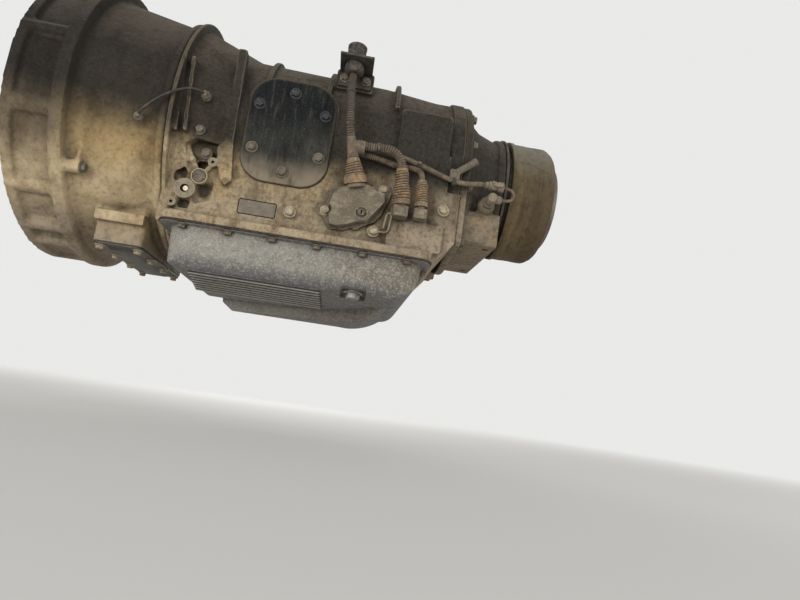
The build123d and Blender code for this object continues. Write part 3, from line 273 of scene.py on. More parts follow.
def turned(rows, base, axis, steps=40, ring=False):
    """Profile turned about an axis. Each row is its radius, its distance along the axis and,
    where the section is a hexagon, 1: the radius then falls to cos 30 between corners, by
    cos 30 over the cosine of the angle from the nearest flat's middle."""
    rows = np.array([(*row, 0.0)[:3] for row in rows], float)
    angle = np.linspace(0, 2 * np.pi, steps, endpoint=False)
    flats = np.cos(np.pi / 6) / np.cos(angle % (np.pi / 3) - np.pi / 6)
    radius = rows[:, :1] * (1 + rows[:, 2:] * (flats - 1))
    axis = np.array(Vector(axis).normalized())
    around = ways_round(axis, angle)
    return grid(np.array(base) + rows[:, 1, None, None] * axis + radius[..., None] * around, ring)


def together(shapes):
    """Several shapes as one: corners in a row, and each face's numbers moved along."""
    corners, faces, start = [], [], 0
    for points, quads in shapes:
        corners.append(points)
        faces += [[number + start for number in quad] for quad in quads]
        start += len(points)
    return np.concatenate(corners), faces


def build(name, shapes, finish, body, slot, *nodes):
    """One piece out of closed shapes in mm, with every face turned outwards."""
    corners, faces = together(shapes)
    mesh = bpy.data.meshes.new(name)
    mesh.from_pydata(corners * MM, [], faces)
    form = bmesh.new()
    form.from_mesh(mesh)
    bmesh.ops.recalc_face_normals(form, faces=form.faces)
    form.to_mesh(mesh)
    form.free()
    return present(name, mesh, finish, body, slot, *nodes)


# Columns of both profiles: radius, and distance along the axis
CONVERTER_ROWS = (
    (20, 27), (22, 29), (22, 41), (24, 42.5), (60, 44), (80, 43), (110, 45), (150, 48.5), (158, 51),
    (166, 57), (170, 62), (171.6, 68), (171.8, 90), (172, 92), (173.4, 94), (173.8, 97), (173.4, 100),
    (172, 102), (170.5, 108), (166, 120), (158, 132), (146, 144), (132, 152), (112, 160), (90, 165),
    (70, 168), (42, 171), (33, 172), (30, 175), (30, 204), (28.5, 206),
)
LUG_ROWS = ((15, 24), (15, 1), (14, 0), (6.2, 0), (5.1, 1), (5.1, 18), (5.1, 24))
LUG_PCD = 290
LUG_FACE = 32
LUG_ANGLES = np.radians(np.arange(0, 360, 60))
# Mild steel under a baked oil film: brown and blue-grey clouds with a dull shine
tanned_steel = weathered(
    "oil_tanned_steel", 0.42, 0.65, "#77706A",
    [("#8C7555", 60, 0.42, 0.62, 0.6), ("#4D4A4A", 25, 0.50, 0.68, 0.6), ("#A89F92", 4, 0.56, 0.68, 0.3)],
    [(0.8, 0.04)],
    hollow_shade=("#241F1A", 20, 0.7),
)
build(
    "converter_shell",
    [turned(CONVERTER_ROWS, (0, 0, 0), BACK, 144)]
    + [turned(LUG_ROWS, (LUG_FACE, LUG_PCD / 2 * np.cos(a), LUG_PCD / 2 * np.sin(a)), BACK, 32, ring=True)
       for a in LUG_ANGLES],
    tanned_steel, "converter", "converter_steel", "torque_converter",
)

# Access cover under the bell: a pressed steel plate with a raised middle, held by screws
# with flanged hexagon heads. A screw of the same kind closes the drilled lug of the bell.
NEAR = (0, -1, 0)
DOWN = (0, 0, -1)
UP = (0, 0, 1)
ACCESS_AT = (154, 0, -212)
ACCESS_SIZE = (72, 234)
# Columns: how far inside the outline, and how far out
ACCESS_ROWS = ((0.6, 0), (0, 0.5), (0, 2.5), (0.6, 3), (15, 3), (17.5, 4.4), (19.5, 6.5), (21, 7))
ACCESS_SCREWS = [(x, y, -215) for x in (126, 182) for y in (-106, -36, 36, 106)]
LUG_SCREW_AT = (106.5, -179.7, -123.5)
# Columns, as shares of the head's size: radius, height, and how much of a hexagon it is
BOLT_ROWS = (
    (1.32, 0), (1.34, 0.10), (1.30, 0.20), (1.10, 0.32), (0.99, 0.36, 1), (1.0, 0.42, 1), (1.0, 0.92, 1),
    (0.93, 1.06, 0.7), (0.80, 1.12), (0.62, 1.12), (0.56, 1.02), (0.3, 1.0),
)


def plate(rows, centre, size, corner, across=BACK, up=UP, steps=8):
    """Profile carried round a rounded rectangle. Each row is how far it is inside the outline
    and how far it stands out, and the corner's radius shrinks by as much. Out is across crossed
    with up: towards the near side, or down where up is NEAR, or up where it is FAR."""
    rows = np.array(rows, float)[:, :, None]
    quarter = np.linspace(0, np.pi / 2, steps)
    angle = np.concatenate([quarter + turn * np.pi / 2 for turn in range(4)])
    sides = np.repeat([(1, 1), (-1, 1), (-1, -1), (1, -1)], steps, axis=0).T
    bend = np.maximum(corner - rows[:, 0], 0.3)
    flat = [sides[i] * (size[i] / 2 - rows[:, 0] - bend) + bend * wave(angle)
            for i, wave in enumerate((np.cos, np.sin))]
    across, up = np.array(across, float), np.array(up, float)
    out = np.cross(across, up)
    points = flat[0][..., None] * across + flat[1][..., None] * up + rows[:, 1][..., None] * out
    return grid(np.array(centre, float) + points)


def bolts(places, axis, size):
    """Flanged hexagon heads, whose corners are size mm from the middle."""
    rows = [(row[0] * size, row[1] * size, *row[2:]) for row in BOLT_ROWS]
    return [turned(rows, place, axis, 36) for place in places]


# Zinc-plated steel gone pale and chalky, with painted shade in its corners
plated_bolts = weathered(
    "zinc_plated_bolts", 0.6, 0.25, "#A3957A",
    [("#6E6350", 9, 0.45, 0.62, 0.7), ("#C9BC9E", 5, 0.54, 0.66, 0.6)],
    [(0.8, 0.08)],
    hollow_shade=("#2E271E", 4, 0.8),
)
# The same bolts under older dust: brown-grey, with no shine left
dull_bolts = weathered(
    "dusty_dark_bolts", 0.75, 0.1, "#6A6152",
    [("#453E34", 9, 0.45, 0.62, 0.7), ("#8F8268", 4, 0.54, 0.66, 0.6)],
    [(0.8, 0.1)],
    hollow_shade=("#241E18", 4, 0.8),
)
# Black stoving paint on sheet, with a thin uneven film of dust
black_paint = weathered(
    "black_painted_plate", 0.62, 0.0, "#3A3833",
    [("#5F574A", 60, 0.42, 0.62, 0.7), ("#77705F", 6, 0.55, 0.66, 0.4)],
    [(1.0, 0.08), (8, 0.2)],
    hollow_shade=("#1B1815", 8, 0.7),
)
build("access_plate", [plate(ACCESS_ROWS, ACCESS_AT, ACCESS_SIZE, 10, up=NEAR)], black_paint,
      "housing", "cover_paint", "access_cover")
build("access_screws", bolts(ACCESS_SCREWS, DOWN, 6.0), plated_bolts, "housing", "zinc_steel")
build("lug_screw", bolts([LUG_SCREW_AT], BACK, 6.4), dull_bolts, "housing", "zinc_steel")

# Main case: the long aluminium casting round the gear train, with its pan rail, pads, ribs
# and bosses. Dust lies thick low on its side, and higher up it is painted dark, partly for oil mist and
# partly as painted shade.
# Sand-cast aluminium: grit in the skin, pale rubbed edges and painted shade in the hollows
case_casting = weathered(
    "sand_cast_case", 0.88, 0.0, "#A69576",
    [
        ("#8C7D66", 90, 0.42, 0.60, 0.7),
        ("#B39A6E", 60, 0.47, 0.63, 0.5),
        ("#4F463B", 10, 0.57, 0.72, 0.45, (1, 1, 0.3)),
        ("#B8A584", 4, 0.55, 0.66, 0.35),
    ],
    [(1.3, 0.25), (4, 0.35), (9, 0.4)],
    bands=[
        ("X", "#7A7063", 400, 600, 0.7),
        ("Z", "#AC9C84", -108, -140, 0.4),
        # Painted shade: near black towards the top, partly oil mist
        ("Z", "#292723", -84, -34, 0.95),
    ],
    # Dark stains: partly oily soot by the bosses, partly painted shade in the deep hollows of the boss
    # cluster and beside a rib
    stains=[
        ("#2C251D", 273, -152, -121, 17, 0.92),
        ("#2A231C", 258, -150, -84, 9, 0.85),
        ("#33291F", 240, -148, -98, 11, 0.7),
        ("#3A3126", 304, -160, -104, 12, 0.6),
        ("#4A4034", 345, -156, -112, 16, 0.5),
        ("#3D352B", 470, -156, -64, 24, 0.6),
        ("#362E25", 312, -157, -88, 12, 0.6),
        ("#40382D", 612, -156, -120, 18, 0.5),
    ],
    grit=[
        ("MULTIPLY", "#A89F92", 7, 0.47, 0.71, 0.8),
        ("MULTIPLY", "#B0A799", 26, 0.48, 0.68, 0.8, (1, 1, 0.4)),
        ("MULTIPLY", "#8C8376", 3.4, 0.54, 0.70, 0.5),
        ("SCREEN", "#403728", 3.2, 0.54, 0.70, 0.5),
    ],
    # Painted shade: faces turned up are darker
    facing=[("#72685A", 0.3, 0.95, 0.75)],
    worn=("#B3A283", 0.55),
    hollow_shade=("#241E18", 16, 0.85),
    gloss=0.25,
)
present("main_case_skin", cast_skin("main_case", 1.9, 4), case_casting,
        "housing", "case_casting", "main_case")

# Plugs and screws of the case: bright bolts in its bosses, a plug with a hexagon socket, a
# washer-faced boss with a dowel in it, and drilled bosses.
FAR = (0, 1, 0)
NEAR_BOLTS = ((402, -161, -132), (529, -161, -140), (630, -163, -90))
FAR_BOLTS = ((402, 158, -132), (529, 158, -140))
# Columns: place, size
CLUSTER_BOLTS = (((268, -163, -66), 6.5), ((254.7, -173.5, -35), 6.0))
CLUSTER_SCREW_AT = (250, -165, -78)
# Columns: place, radius of the milled face, radius of the hole
DRILLED = (
    ((280, -167, -78), 6.8, 2.5),
    ((233, -167, -147), 6.6, 2.5),
    ((248, -168, -124.5), 14.8, 6.2),
)
SOCKET_PLUG_AT = (265.5, -169, -103.5)
SOCKET_PLUG_ROWS = (
    (9.2, -1), (9.0, 0.9), (8.4, 1.2), (7.0, 1.2), (6.7, 0.5), (5.6, 0.5), (5.2, 1.1, 1), (3.8, 1.1, 1),
    (3.5, 0.2, 1),
)
PLUG_RIM_ROWS = ((11.9, -1), (11.9, 0.8), (11.3, 1.5), (10.3, 1.5), (9.9, 0.9), (9.8, -1))
DOWEL_AT = (250.2, -168, -125.2)
DOWEL_ROWS = ((3.9, -0.5), (3.9, 1.5), (3.2, 2.2), (1.4, 2.2), (1.2, 1.0))
build("case_bolts", bolts(NEAR_BOLTS, NEAR, 7.2) + bolts(FAR_BOLTS, FAR, 7.2), plated_bolts,
      "housing", "zinc_steel")
build("cluster_bolts", [head for place, size in CLUSTER_BOLTS for head in bolts([place], NEAR, size)],
      dull_bolts, "housing", "zinc_steel")
# Milled faces of the casting: paler and finer than the skin round them
machined_boss = weathered(
    "milled_cast_boss", 0.75, 0.0, "#8C806A",
    [("#675D4D", 9, 0.44, 0.60, 0.7), ("#A39578", 3.2, 0.54, 0.66, 0.6), ("#5A5043", 2.4, 0.56, 0.66, 0.5)],
    [(0.8, 0.1)],
    worn=("#C4B391", 0.6),
    hollow_shade=("#2B241C", 5, 0.8),
    gloss=0.3,
)
build(
    "drilled_faces",
    [turned(((outer, -1), (outer, 0.4), (outer - 0.5, 0.9), (outer - 1.3, 0.9), (outer - 1.6, 0.6),
             (hole + 0.7, 0.6), (hole, 0.2), (hole, -1)), place, NEAR, 40, ring=True)
     for place, outer, hole in DRILLED],
    machined_boss, "housing", "case_casting",
)
# Painted shadow in drilled holes and in the recess round the plate: near black
hole_shadow = weathered(
    "painted_recess_shadow", 0.7, 0.0, "#120F0C", [("#241D16", 3, 0.5, 0.7, 0.6)], [(0.8, 0.1)], gloss=0.1,
)
build("drilled_floors",
      [turned(((hole, -0.8), (hole, 0.1)), place, NEAR, 24) for place, _, hole in DRILLED],
      hole_shadow, "housing", "zinc_steel")
build("socket_plug", [turned(SOCKET_PLUG_ROWS, SOCKET_PLUG_AT, NEAR, 60)], dull_bolts,
      "housing", "zinc_steel")
build("plug_rim", [turned(PLUG_RIM_ROWS, SOCKET_PLUG_AT, NEAR, 60, ring=True)], machined_boss,
      "housing", "case_casting")
# Ground steel dowel: the one bright spot of this side
bright_pin = weathered(
    "ground_steel_pin", 0.45, 0.3, "#C9BFA8", [("#A3967A", 3, 0.5, 0.66, 0.6)], [(0.6, 0.04)],
)
build("dowel", [turned(DOWEL_ROWS, DOWEL_AT, NEAR, 28)], bright_pin, "housing", "zinc_steel")
build("cluster_screw", bolts([CLUSTER_SCREW_AT], NEAR, 3.6), plated_bolts, "housing", "zinc_steel")

# Plate of the case: a blank aluminium plate with two rivets, in a shallow recess of its own.
# A painted shadow in the recess draws a dark line round it.
PLATE_AT = (353.5, -156.5, -134)
PLATE_SIZE = (54, 21)
PLATE_ROWS = ((0.2, -0.6), (0, -0.2), (0, 1.2), (0.3, 1.5))
RIVETS_AT = [(x, -156.5, -134) for x in (329.5, 377.5)]
RIVET_ROWS = ((1.9, 0.9), (1.8, 1.7), (1.2, 2.0))
RECESS_SIZE = (58.5, 25.5)
RECESS_ROWS = ((0.4, -1.2), (0, -0.6), (0, 1.1))
# Aluminium sheet, oxidised to a dull grey that stands out from the dust
blank_plate = weathered(
    "blank_aluminium_plate", 0.8, 0.1, "#766E60",
    [("#5E574A", 14, 0.45, 0.62, 0.6), ("#8F8570", 4, 0.54, 0.66, 0.5)],
    [(0.8, 0.05)],
    hollow_shade=("#2B261F", 4, 0.7),
)
build("plate_gap", [plate(RECESS_ROWS, PLATE_AT, RECESS_SIZE, 3)], hole_shadow,
      "housing", "case_casting")
build(
    "blank_plate",
    [plate(PLATE_ROWS, PLATE_AT, PLATE_SIZE, 2)] + [turned(RIVET_ROWS, at, NEAR, 20) for at in RIVETS_AT],
    blank_plate, "housing", "zinc_steel",
)

# Take-off covers: flat steel plates in black paint, one on each side, screwed down over a
# thin gasket. Dust has covered the lower third of each.
# Black paint with runs washed down it, dust that thickens towards the foot, and painted shade near black
# over its upper part
cover_paint = weathered(
    "black_painted_cover", 0.8, 0.0, "#2E2E2B",
    [("#3F3D38", 60, 0.42, 0.60, 0.7), ("#1D2022", 14, 0.50, 0.68, 0.6)],
    [(1.0, 0.06), (9, 0.15)],
    # The second band is painted shade: near black over the upper part, partly oil
    bands=[("Z", "#857966", -40, -88, 0.85), ("Z", "#0F1316", -30, 30, 0.9)],
    grit=[
        ("MIX", "#5E594E", 5, 0.54, 0.74, 0.4, (1, 1, 0.12)),
        ("MIX", "#827862", 2.6, 0.58, 0.70, 0.35),
        ("MULTIPLY", "#8C877D", 11, 0.50, 0.70, 0.7, (1, 1, 0.3)),
    ],
    worn=("#8C8068", 0.6),
    hollow_shade=("#141210", 6, 0.7),
    gloss=0.15,
)
# Pressed fibre, dark and matt, seen as a thin line
gasket = weathered("fibre_gasket", 0.9, 0.0, "#2A261F", [("#4A4234", 8, 0.45, 0.6, 0.6)], [(0.8, 0.1)])
# Bolts of the upper half: a copy of the bolts darkened as painted shade, with some oil, almost as dark as
# the plate
oily_shaded_bolts = weathered(
    "oily_painted_shade_bolts", 0.7, 0.1, "#26282A",
    [("#3E3D3A", 5, 0.46, 0.62, 0.7), ("#6B6557", 2.6, 0.58, 0.68, 0.5)],
    [(0.8, 0.08)],
    hollow_shade=("#0E0D0C", 4, 0.8),
)
COVER_MIDDLE = (381, -10)
COVER_SIZE = (130, 165)
COVER_CORNER = 40
COVER_ROWS = ((0.8, 0.8), (0, 1.4), (0, 4.8), (0.5, 5.6), (1.6, 6), (8, 6))
GASKET_ROWS = ((-1, -0.4), (-1.2, 0.3), (-0.6, 0.9))
# Distances from the shaft's axis to the seat of the cover, and to its face
COVER_SEAT = 160
COVER_FACE = 166
# Columns: half of the cover, its bolts as places along X and Z, their finish
COVER_BOLTS = (
    ("low", ((331, -44), (381, -75), (431, -44)), dull_bolts),
    # The upper bolts take the darker copy, as painted shade
    ("high", ((331, 26), (431, 24), (381, 52)), oily_shaded_bolts),
)
for name, side, across in (("near", NEAR, BACK), ("far", FAR, (-1, 0, 0))):
    seat = (COVER_MIDDLE[0], COVER_SEAT * side[1], COVER_MIDDLE[1])
    outline = (seat, COVER_SIZE, COVER_CORNER, across, UP, 20)
    build("cover_plate_" + name, [plate(COVER_ROWS, *outline)],
          cover_paint, "housing", "cover_paint", "takeoff_cover_" + name)
    build("cover_gasket_" + name, [plate(GASKET_ROWS, *outline)], gasket, "housing", "cover_paint")
    for half, places, finish in COVER_BOLTS:
        heads = bolts([(x, COVER_FACE * side[1], z) for x, z in places], side, 7.0)
        build(f"cover_bolts_{half}_{name}", heads, finish, "housing", "zinc_steel")

# Oil pan: a pressed steel shell in grey paint, clamped under the case by a row of bolts. The
# dust of the road sticks to its side in pale specks, and its ribbed floor is painted darker, as painted
# shade.
# Grey paint on pressed steel, speckled by thrown grit at the side, with painted shade on the faces turned
# down
pan_paint = weathered(
    "painted_pressed_steel", 0.85, 0.0, "#8B887F",
    [("#88857B", 60, 0.42, 0.62, 0.6), ("#65635C", 26, 0.50, 0.66, 0.5)],
    [(1.0, 0.12), (3, 0.2), (6, 0.15)],
    bands=[("X", "#655A4B", 380, 590, 0.75), ("Z", "#8B8373", -184, -172, 0.7)],
    grit=[
        ("MIX", "#BDB9AC", 3.0, 0.50, 0.66, 0.5),
        ("MIX", "#A5A297", 9, 0.50, 0.66, 0.5),
        ("MIX", "#4C4A45", 2.4, 0.54, 0.66, 0.5),
    ],
    # Painted shade: faces turned down are darker and bluer
    facing=[("#5F5F64", -0.3, -0.75, 0.72)],
    worn=("#A29A88", 0.5),
    hollow_shade=("#0F0E0D", 12, 0.95),
    gloss=0.3,
)
# The pan is a thin shell, so its two levels are filled before it is rebuilt, to leave it an
# outer skin only. The third filling eases the ledge under its step.
PAN_FILLINGS = (
    plate(((0, -174), (0, -219), (4, -223)), (408, 0, 0), (330, 276), 30, up=FAR),
    plate(((0, -200), (0, -228), (6, -234)), (364, 0, 0), (240, 272), 30, up=FAR),
    plate(((1.26, -190), (1.26, -196), (3.56, -208)), (421.5, 0, 0), (381, 334), 39, up=FAR, steps=12),
)
present("oil_pan_skin", cast_skin("oil_pan", 1.8, 3, *PAN_FILLINGS, most=172000), pan_paint,
        "housing", "pan_paint", "oil_pan")
# Columns of the ribs: front end, distance from the middle
PAN_RIBS = [(266 - 3.5 * i, -128 + 24 * i) for i in range(8)]
PAN_RIB_REAR = 464
PAN_RIB_CREST = -241
RIB_ROWS = ((0, -3), (0, -0.6), (0.9, 0.3))
RIB_SHADE_ROWS = ((-0.5, -5.5), (-0.5, -1.2))


def along_ribs(rows, width, corner):
    """Profile carried round a rounded rectangle as long as the rib, on the crest of each."""
    return [plate(rows, ((front + PAN_RIB_REAR) / 2, y, PAN_RIB_CREST), (PAN_RIB_REAR - front, width),
                  corner, up=NEAR) for front, y in PAN_RIBS]


# Painted highlight on the crests of the ribs, where light from below falls on them, so that they read as
# pale lines
rib_highlight_paint = weathered(
    "painted_rib_highlight", 0.8, 0.0, "#979389",
    [("#77746D", 9, 0.45, 0.62, 0.6), ("#B3AFA4", 3, 0.54, 0.66, 0.5)],
    [(0.8, 0.08)],
)
build("pan_ribs", along_ribs(RIB_ROWS, 7.6, 3.6), rib_highlight_paint, "housing", "pan_paint")
# Painted shade against the ribs: thin sheets, almost black, where shade falls on their walls; it parts one
# rib from the next
rib_shade_paint = weathered(
    "painted_rib_shade", 0.85, 0.0, "#262524",
    [("#3F3C38", 9, 0.45, 0.62, 0.6), ("#55514A", 3, 0.56, 0.66, 0.4)],
    [(1.0, 0.1)],
)
build("rib_shade_sheets", along_ribs(RIB_SHADE_ROWS, 10, 5), rib_shade_paint, "housing", "pan_paint")
PAN_RAIL_AT = (421.5, 0, -175)
PAN_RAIL_SIZE = (403, 356)
PAN_GASKET_ROWS = ((-0.4, -1.6), (-0.9, -1.2), (-0.9, 1.4), (-0.4, 1.8))
build("pan_gasket", [plate(PAN_GASKET_ROWS, PAN_RAIL_AT, PAN_RAIL_SIZE, 22, up=NEAR)], gasket,
      "housing", "pan_paint")
PAN_BOLTS = [(x, y, -178) for x in (255.5, 321, 385, 450, 518, 585) for y in (-171, 171)]
PAN_BOLTS += [(x, y, -178) for x in (226.5, 616.5) for y in (-110, -37, 37, 110)]
build("pan_bolts", bolts(PAN_BOLTS, DOWN, 5.6), dull_bolts, "housing", "zinc_steel")

# Drain plug: a magnet plug of bare steel with a hexagon head and a broad washer face, screwed
# into the recess of the pan's floor.
DRAIN_AT = (514, -118, -228)
DRAIN_ROWS = (
    (15, 0), (15, 2.4), (14, 3), (11.3, 3.2), (11.4, 3.6, 1), (11.4, 10.6, 1), (10.4, 11.8, 0.6), (9, 12),
    (6.4, 12), (6, 11.2), (3, 11),
)
# Bare steel that spanners and stones keep bright
bare_steel = weathered(
    "rubbed_steel_plug", 0.5, 0.3, "#8E8B84",
    [("#5C5A55", 8, 0.46, 0.62, 0.7), ("#BDB9AF", 3, 0.55, 0.66, 0.6)],
    [(0.8, 0.05)],
    hollow_shade=("#1C1A18", 4, 0.8),
)
build("drain_head", [turned(DRAIN_ROWS, DRAIN_AT, DOWN, 48)], bare_steel,
      "housing", "zinc_steel", "drain_plug")

# Selector switch: a fan-shaped housing of black glass-filled nylon on the selector shaft,
# bolted through two ears. It is so dusty that it reads brown.
# Glass-filled nylon under dust: olive brown with pale specks
switch_nylon = weathered(
    "moulded_nylon", 0.85, 0.0, "#6D6353",
    [("#574D40", 25, 0.45, 0.62, 0.6), ("#8C7F6A", 12, 0.48, 0.62, 0.7), ("#A3957A", 3, 0.56, 0.66, 0.4)],
    [(1.0, 0.15), (5, 0.2)],
    hollow_shade=("#1A1613", 8, 0.85),
    worn=("#8F8268", 0.5),
)
present("switch_housing", cast_skin("selector_switch", 0.8, 1, most=45000), switch_nylon,
        "housing", "switch_plastic", "selector_switch")
HUB_AT = np.array((507, -180, -121))
HUB_ROWS = ((10.5, -1), (10.5, 1.9), (9.9, 2.5), (8.7, 2.5), (8.1, 1.9), (8.0, -0.6))
CLAW_ROWS = ((0.4, -0.5), (0, 0), (0, 1.9), (0.6, 2.4))
CLAW_CIRCLE = 7.4
CLAW_TURNS = np.radians((20, 140, 260))
EAR_BOLTS = ((453.5, -164, -121.5), (535.5, -164, -75))
EYE_AT = (462, -164, -89.5)
EYE_ROWS = ((4.4, 0), (4.2, 0.7), (3.0, 0.9), (2.7, 0.4), (2.6, -1.0))
build(
    "switch_hub",
    [turned(HUB_ROWS, HUB_AT, NEAR, 48)]
    + [plate(CLAW_ROWS, HUB_AT + CLAW_CIRCLE * np.array((np.cos(a), 0, np.sin(a))), (3, 3), 1, steps=4)
       for a in CLAW_TURNS],
    switch_nylon, "housing", "switch_plastic",
)


def refinish(node, finish):
    """A CAD node that stays as it is, in one finish."""
    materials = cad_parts[node].data.materials
    materials.clear()
    materials.append(finish)


refinish("selector_shaft", dull_bolts)
build("ear_bolts", bolts(EAR_BOLTS, NEAR, 6.2), plated_bolts, "housing", "zinc_steel")
build("eye_rivet", [turned(EYE_ROWS, EYE_AT, NEAR, 24)], dull_bolts, "housing", "zinc_steel")

# Boots over the plugs of the leads: moulded rubber bellows with a plain collar at the foot,
# squeezed and creased by years of heat, and gone brown.
# Columns: name, foot, tip, profile as distance and radius, where its folds start and end,
# their pitch and depth
BOOTS = (
    ("switch_boot", (492, -176.5, -76), (482.5, -185, -40.5),
     ((0, 17.5), (9, 17), (12, 15.5), (26, 12.5), (37.7, 9)), (10, 33), 3.6, 1.5),
    ("solenoid_boot", (563.5, -184, -99), (557, -190, -46),
     ((0, 11.5), (3, 13), (15, 14), (25, 12.8), (33, 10.2), (46, 10.6), (53.7, 8.5)), (3, 51), 4.0, 1.5),
    ("valve_boot", (593.5, -180, -97), (590, -178, -54),
     ((0, 9.7), (7, 10.4), (15, 9), (24, 9.8), (36, 9.6), (43.2, 6.5)), (4, 41), 3.6, 1.0),
)
# Aged rubber: ochre on the folds, with painted shade almost black between them
boot_rubber = weathered(
    "brown_bellows_rubber", 0.85, 0.0, "#76644E",
    [("#A87F4F", 9, 0.48, 0.62, 0.7), ("#57493A", 14, 0.48, 0.62, 0.6), ("#A8977A", 4, 0.52, 0.66, 0.6)],
    [(1.0, 0.12)],
    crease_shade=("#17110B", 0.92),
    hollow_shade=("#241B12", 5, 0.6),
)


def bellows(foot, tip, profile, folded, pitch, depth, steps=56):
    """Turned profile with folds in it: the radius is the profile's, less the fold depth times
    one minus the size of a sine to the power 0.8. The folds fade over 3 mm at both ends. Two
    slow sines round the boot shift their phase, more and more over the first 12 mm, so they
    lean and pinch as creased rubber does. It gives the shape, and how deep in its fold each
    point lies, from 0 to 1."""
    axis = Vector(tip) - Vector(foot)
    way = np.arange(0, axis.length, 0.45)
    angle = np.linspace(0, 2 * np.pi, steps, endpoint=False)
    lean = 0.9 * np.sin(angle) + 0.5 * np.sin(2 * angle + 1.3)
    phase = np.pi * way[:, None] / pitch + lean * np.clip((way[:, None] - folded[0]) / 12, 0, 1)
    fade = np.clip((way - folded[0]) / 3, 0, 1) * np.clip((folded[1] - way) / 3, 0, 1)
    dip = depth * fade[:, None] * (1 - np.abs(np.sin(phase)) ** 0.8)
    radius = np.interp(way, *np.array(profile, float).T)[:, None] - 0.15 - dip
    direction = np.array(axis.normalized())
    around = ways_round(direction, angle)
    return grid(np.array(foot) + way[:, None, None] * direction + radius[..., None] * around), dip / depth


def crease(piece, dip):
    """How deep each point of a folded piece lies in its folds, from 0 to 1, kept on its mesh."""
    kept = piece.data.attributes.new("crease", "FLOAT", "POINT")
    kept.data.foreach_set("value", np.clip(dip, 0, 1).ravel())


for name, foot, tip, profile, folded, pitch, depth in BOOTS:
    shape, dip = bellows(foot, tip, profile, folded, pitch, depth)
    crease(build(name + "_bellows", [shape], boot_rubber, "housing", "boot_rubber", name), dip)

# Leads: wires in convoluted or taped sleeves that go from the branch sleeve to the plugs,
# and up to the vehicle's own harness plug. All are held at both ends.
BOOT_TIPS = [Vector(row[2]) for row in BOOTS]
BOOT_WAYS = [(Vector(row[2]) - Vector(row[1])).normalized() for row in BOOTS]
SLEEVE_TOP = BOOT_TIPS[0] + BOOT_WAYS[0] * 32
PLUG_AT = np.array((462, -165, 102))
# Control points of each line, from one end that is held to the other
ROUTES = {
    "harness_trunk": (
        SLEEVE_TOP, SLEEVE_TOP + BOOT_WAYS[0] * 16, (467, -197, 38), (463, -182, 66), (462, -165, 84),
        PLUG_AT,
    ),
    "solenoid_lead": (
        (498, -191, -22), (514, -191, -22), (538, -193, -20),
        BOOT_TIPS[1] + BOOT_WAYS[1] * 13, BOOT_TIPS[1],
    ),
    "valve_lead": (
        (498, -175, -29.3), (516, -175, -30), (552, -172, -37), (577, -174, -36),
        BOOT_TIPS[2] + BOOT_WAYS[2] * 12, BOOT_TIPS[2],
    ),
    "sensor_lead": (
        (498, -175, -19), (518, -175, -19), (560, -170, -20), (604, -170, -33), (634, -169, -42),
        (660, -163, -42), (682, -152, -33), (698, -152, -33),
    ),
    "sensor_pigtail": (
        (722, -152, -33), (735, -152, -33), (742, -151, -43), (735, -150, -53), (722, -150, -53),
    ),
    "breather_pipe": (
        (175, -197, -42), (175, -208, -42), (190, -211, -24), (212, -212, -4), (236, -206, 12),
        (256, -196, 14), (256, -184, 14),
    ),
    "fill_tube": ((590, 158, -100), (590, 186, -100), (588, 194, -66), (584, 194, 40), (576, 190, 150)),
}


def line_of(route, spacing):
    """Points of a route's smooth line, evenly spaced, and how far along each lies: Blender's
    own NURBS curve of order 3 with the route's points as control points, read as a mesh."""
    points = np.array([tuple(point) for point in route])
    curve = bpy.data.curves.new("route", "CURVE")
    curve.dimensions = "3D"
    curve.resolution_u = 24
    spline = curve.splines.new("NURBS")
    spline.points.add(len(points) - 1)
    spline.points.foreach_set("co", np.column_stack([points, np.ones(len(points))]).ravel())
    spline.order_u = 3
    spline.use_endpoint_u = True
    holder = bpy.data.objects.new("route", curve)
    read = bpy.data.meshes.new_from_object(holder)
    line = np.zeros(len(read.vertices) * 3)
    read.vertices.foreach_get("co", line)
    bpy.data.objects.remove(holder)
    line = line.reshape(-1, 3)
    run = np.concatenate([[0], np.cumsum(np.linalg.norm(np.diff(line, axis=0), axis=1))])
    even = np.linspace(0, run[-1], int(run[-1] / spacing) + 1)
    return np.column_stack([np.interp(even, run, line[:, i]) for i in range(3)]), even


def swept(line, radius, side, steps=24):
    """Round section carried along a line, with a radius at each point. Its first direction is
    the tangent crossed with side."""
    tangent = np.gradient(line, axis=0)
    tangent /= np.linalg.norm(tangent, axis=1)[:, None]
    first = np.cross(tangent, side)
    first /= np.linalg.norm(first, axis=1)[:, None]
    second = np.cross(tangent, first)
    angle = np.linspace(0, 2 * np.pi, steps, endpoint=False)[:, None]
    around = np.cos(angle) * first[:, None] + np.sin(angle) * second[:, None]
    return grid(line[:, None] + radius[:, None, None] * around)


# Convoluted nylon and tape: brown dust on the rings, with painted shade between them
lead_sleeve = weathered(
    "convoluted_sleeve", 0.8, 0.0, "#5D5142",
    [("#3C342A", 30, 0.45, 0.62, 0.6), ("#7F6E55", 12, 0.48, 0.62, 0.7), ("#9A8A70", 3, 0.56, 0.66, 0.4)],
    [(1.0, 0.12)],
    # Painted shade: darker higher up, where the leads rise, partly oily dirt
    bands=[("Z", "#37332D", -10, 40, 0.6)],
    crease_shade=("#120E0A", 0.9),
    hollow_shade=("#17130F", 5, 0.6),
)
# Semi-gloss paint on steel tube, with dust on top
tube_paint = weathered(
    "painted_tube", 0.55, 0.0, "#3B3832",
    [("#5A5244", 30, 0.45, 0.62, 0.6), ("#766B57", 5, 0.56, 0.66, 0.4)],
    [(1.0, 0.05)],
    facing=[("#6B6150", 0.25, 0.85, 0.5)],
)
# Thin nylon pipe that stays black
black_hose = weathered(
    "black_nylon_pipe", 0.6, 0.0, "#24211E",
    [("#4A433A", 6, 0.48, 0.62, 0.6), ("#6B6150", 2.5, 0.58, 0.68, 0.4)],
    [(1.0, 0.05)],
)
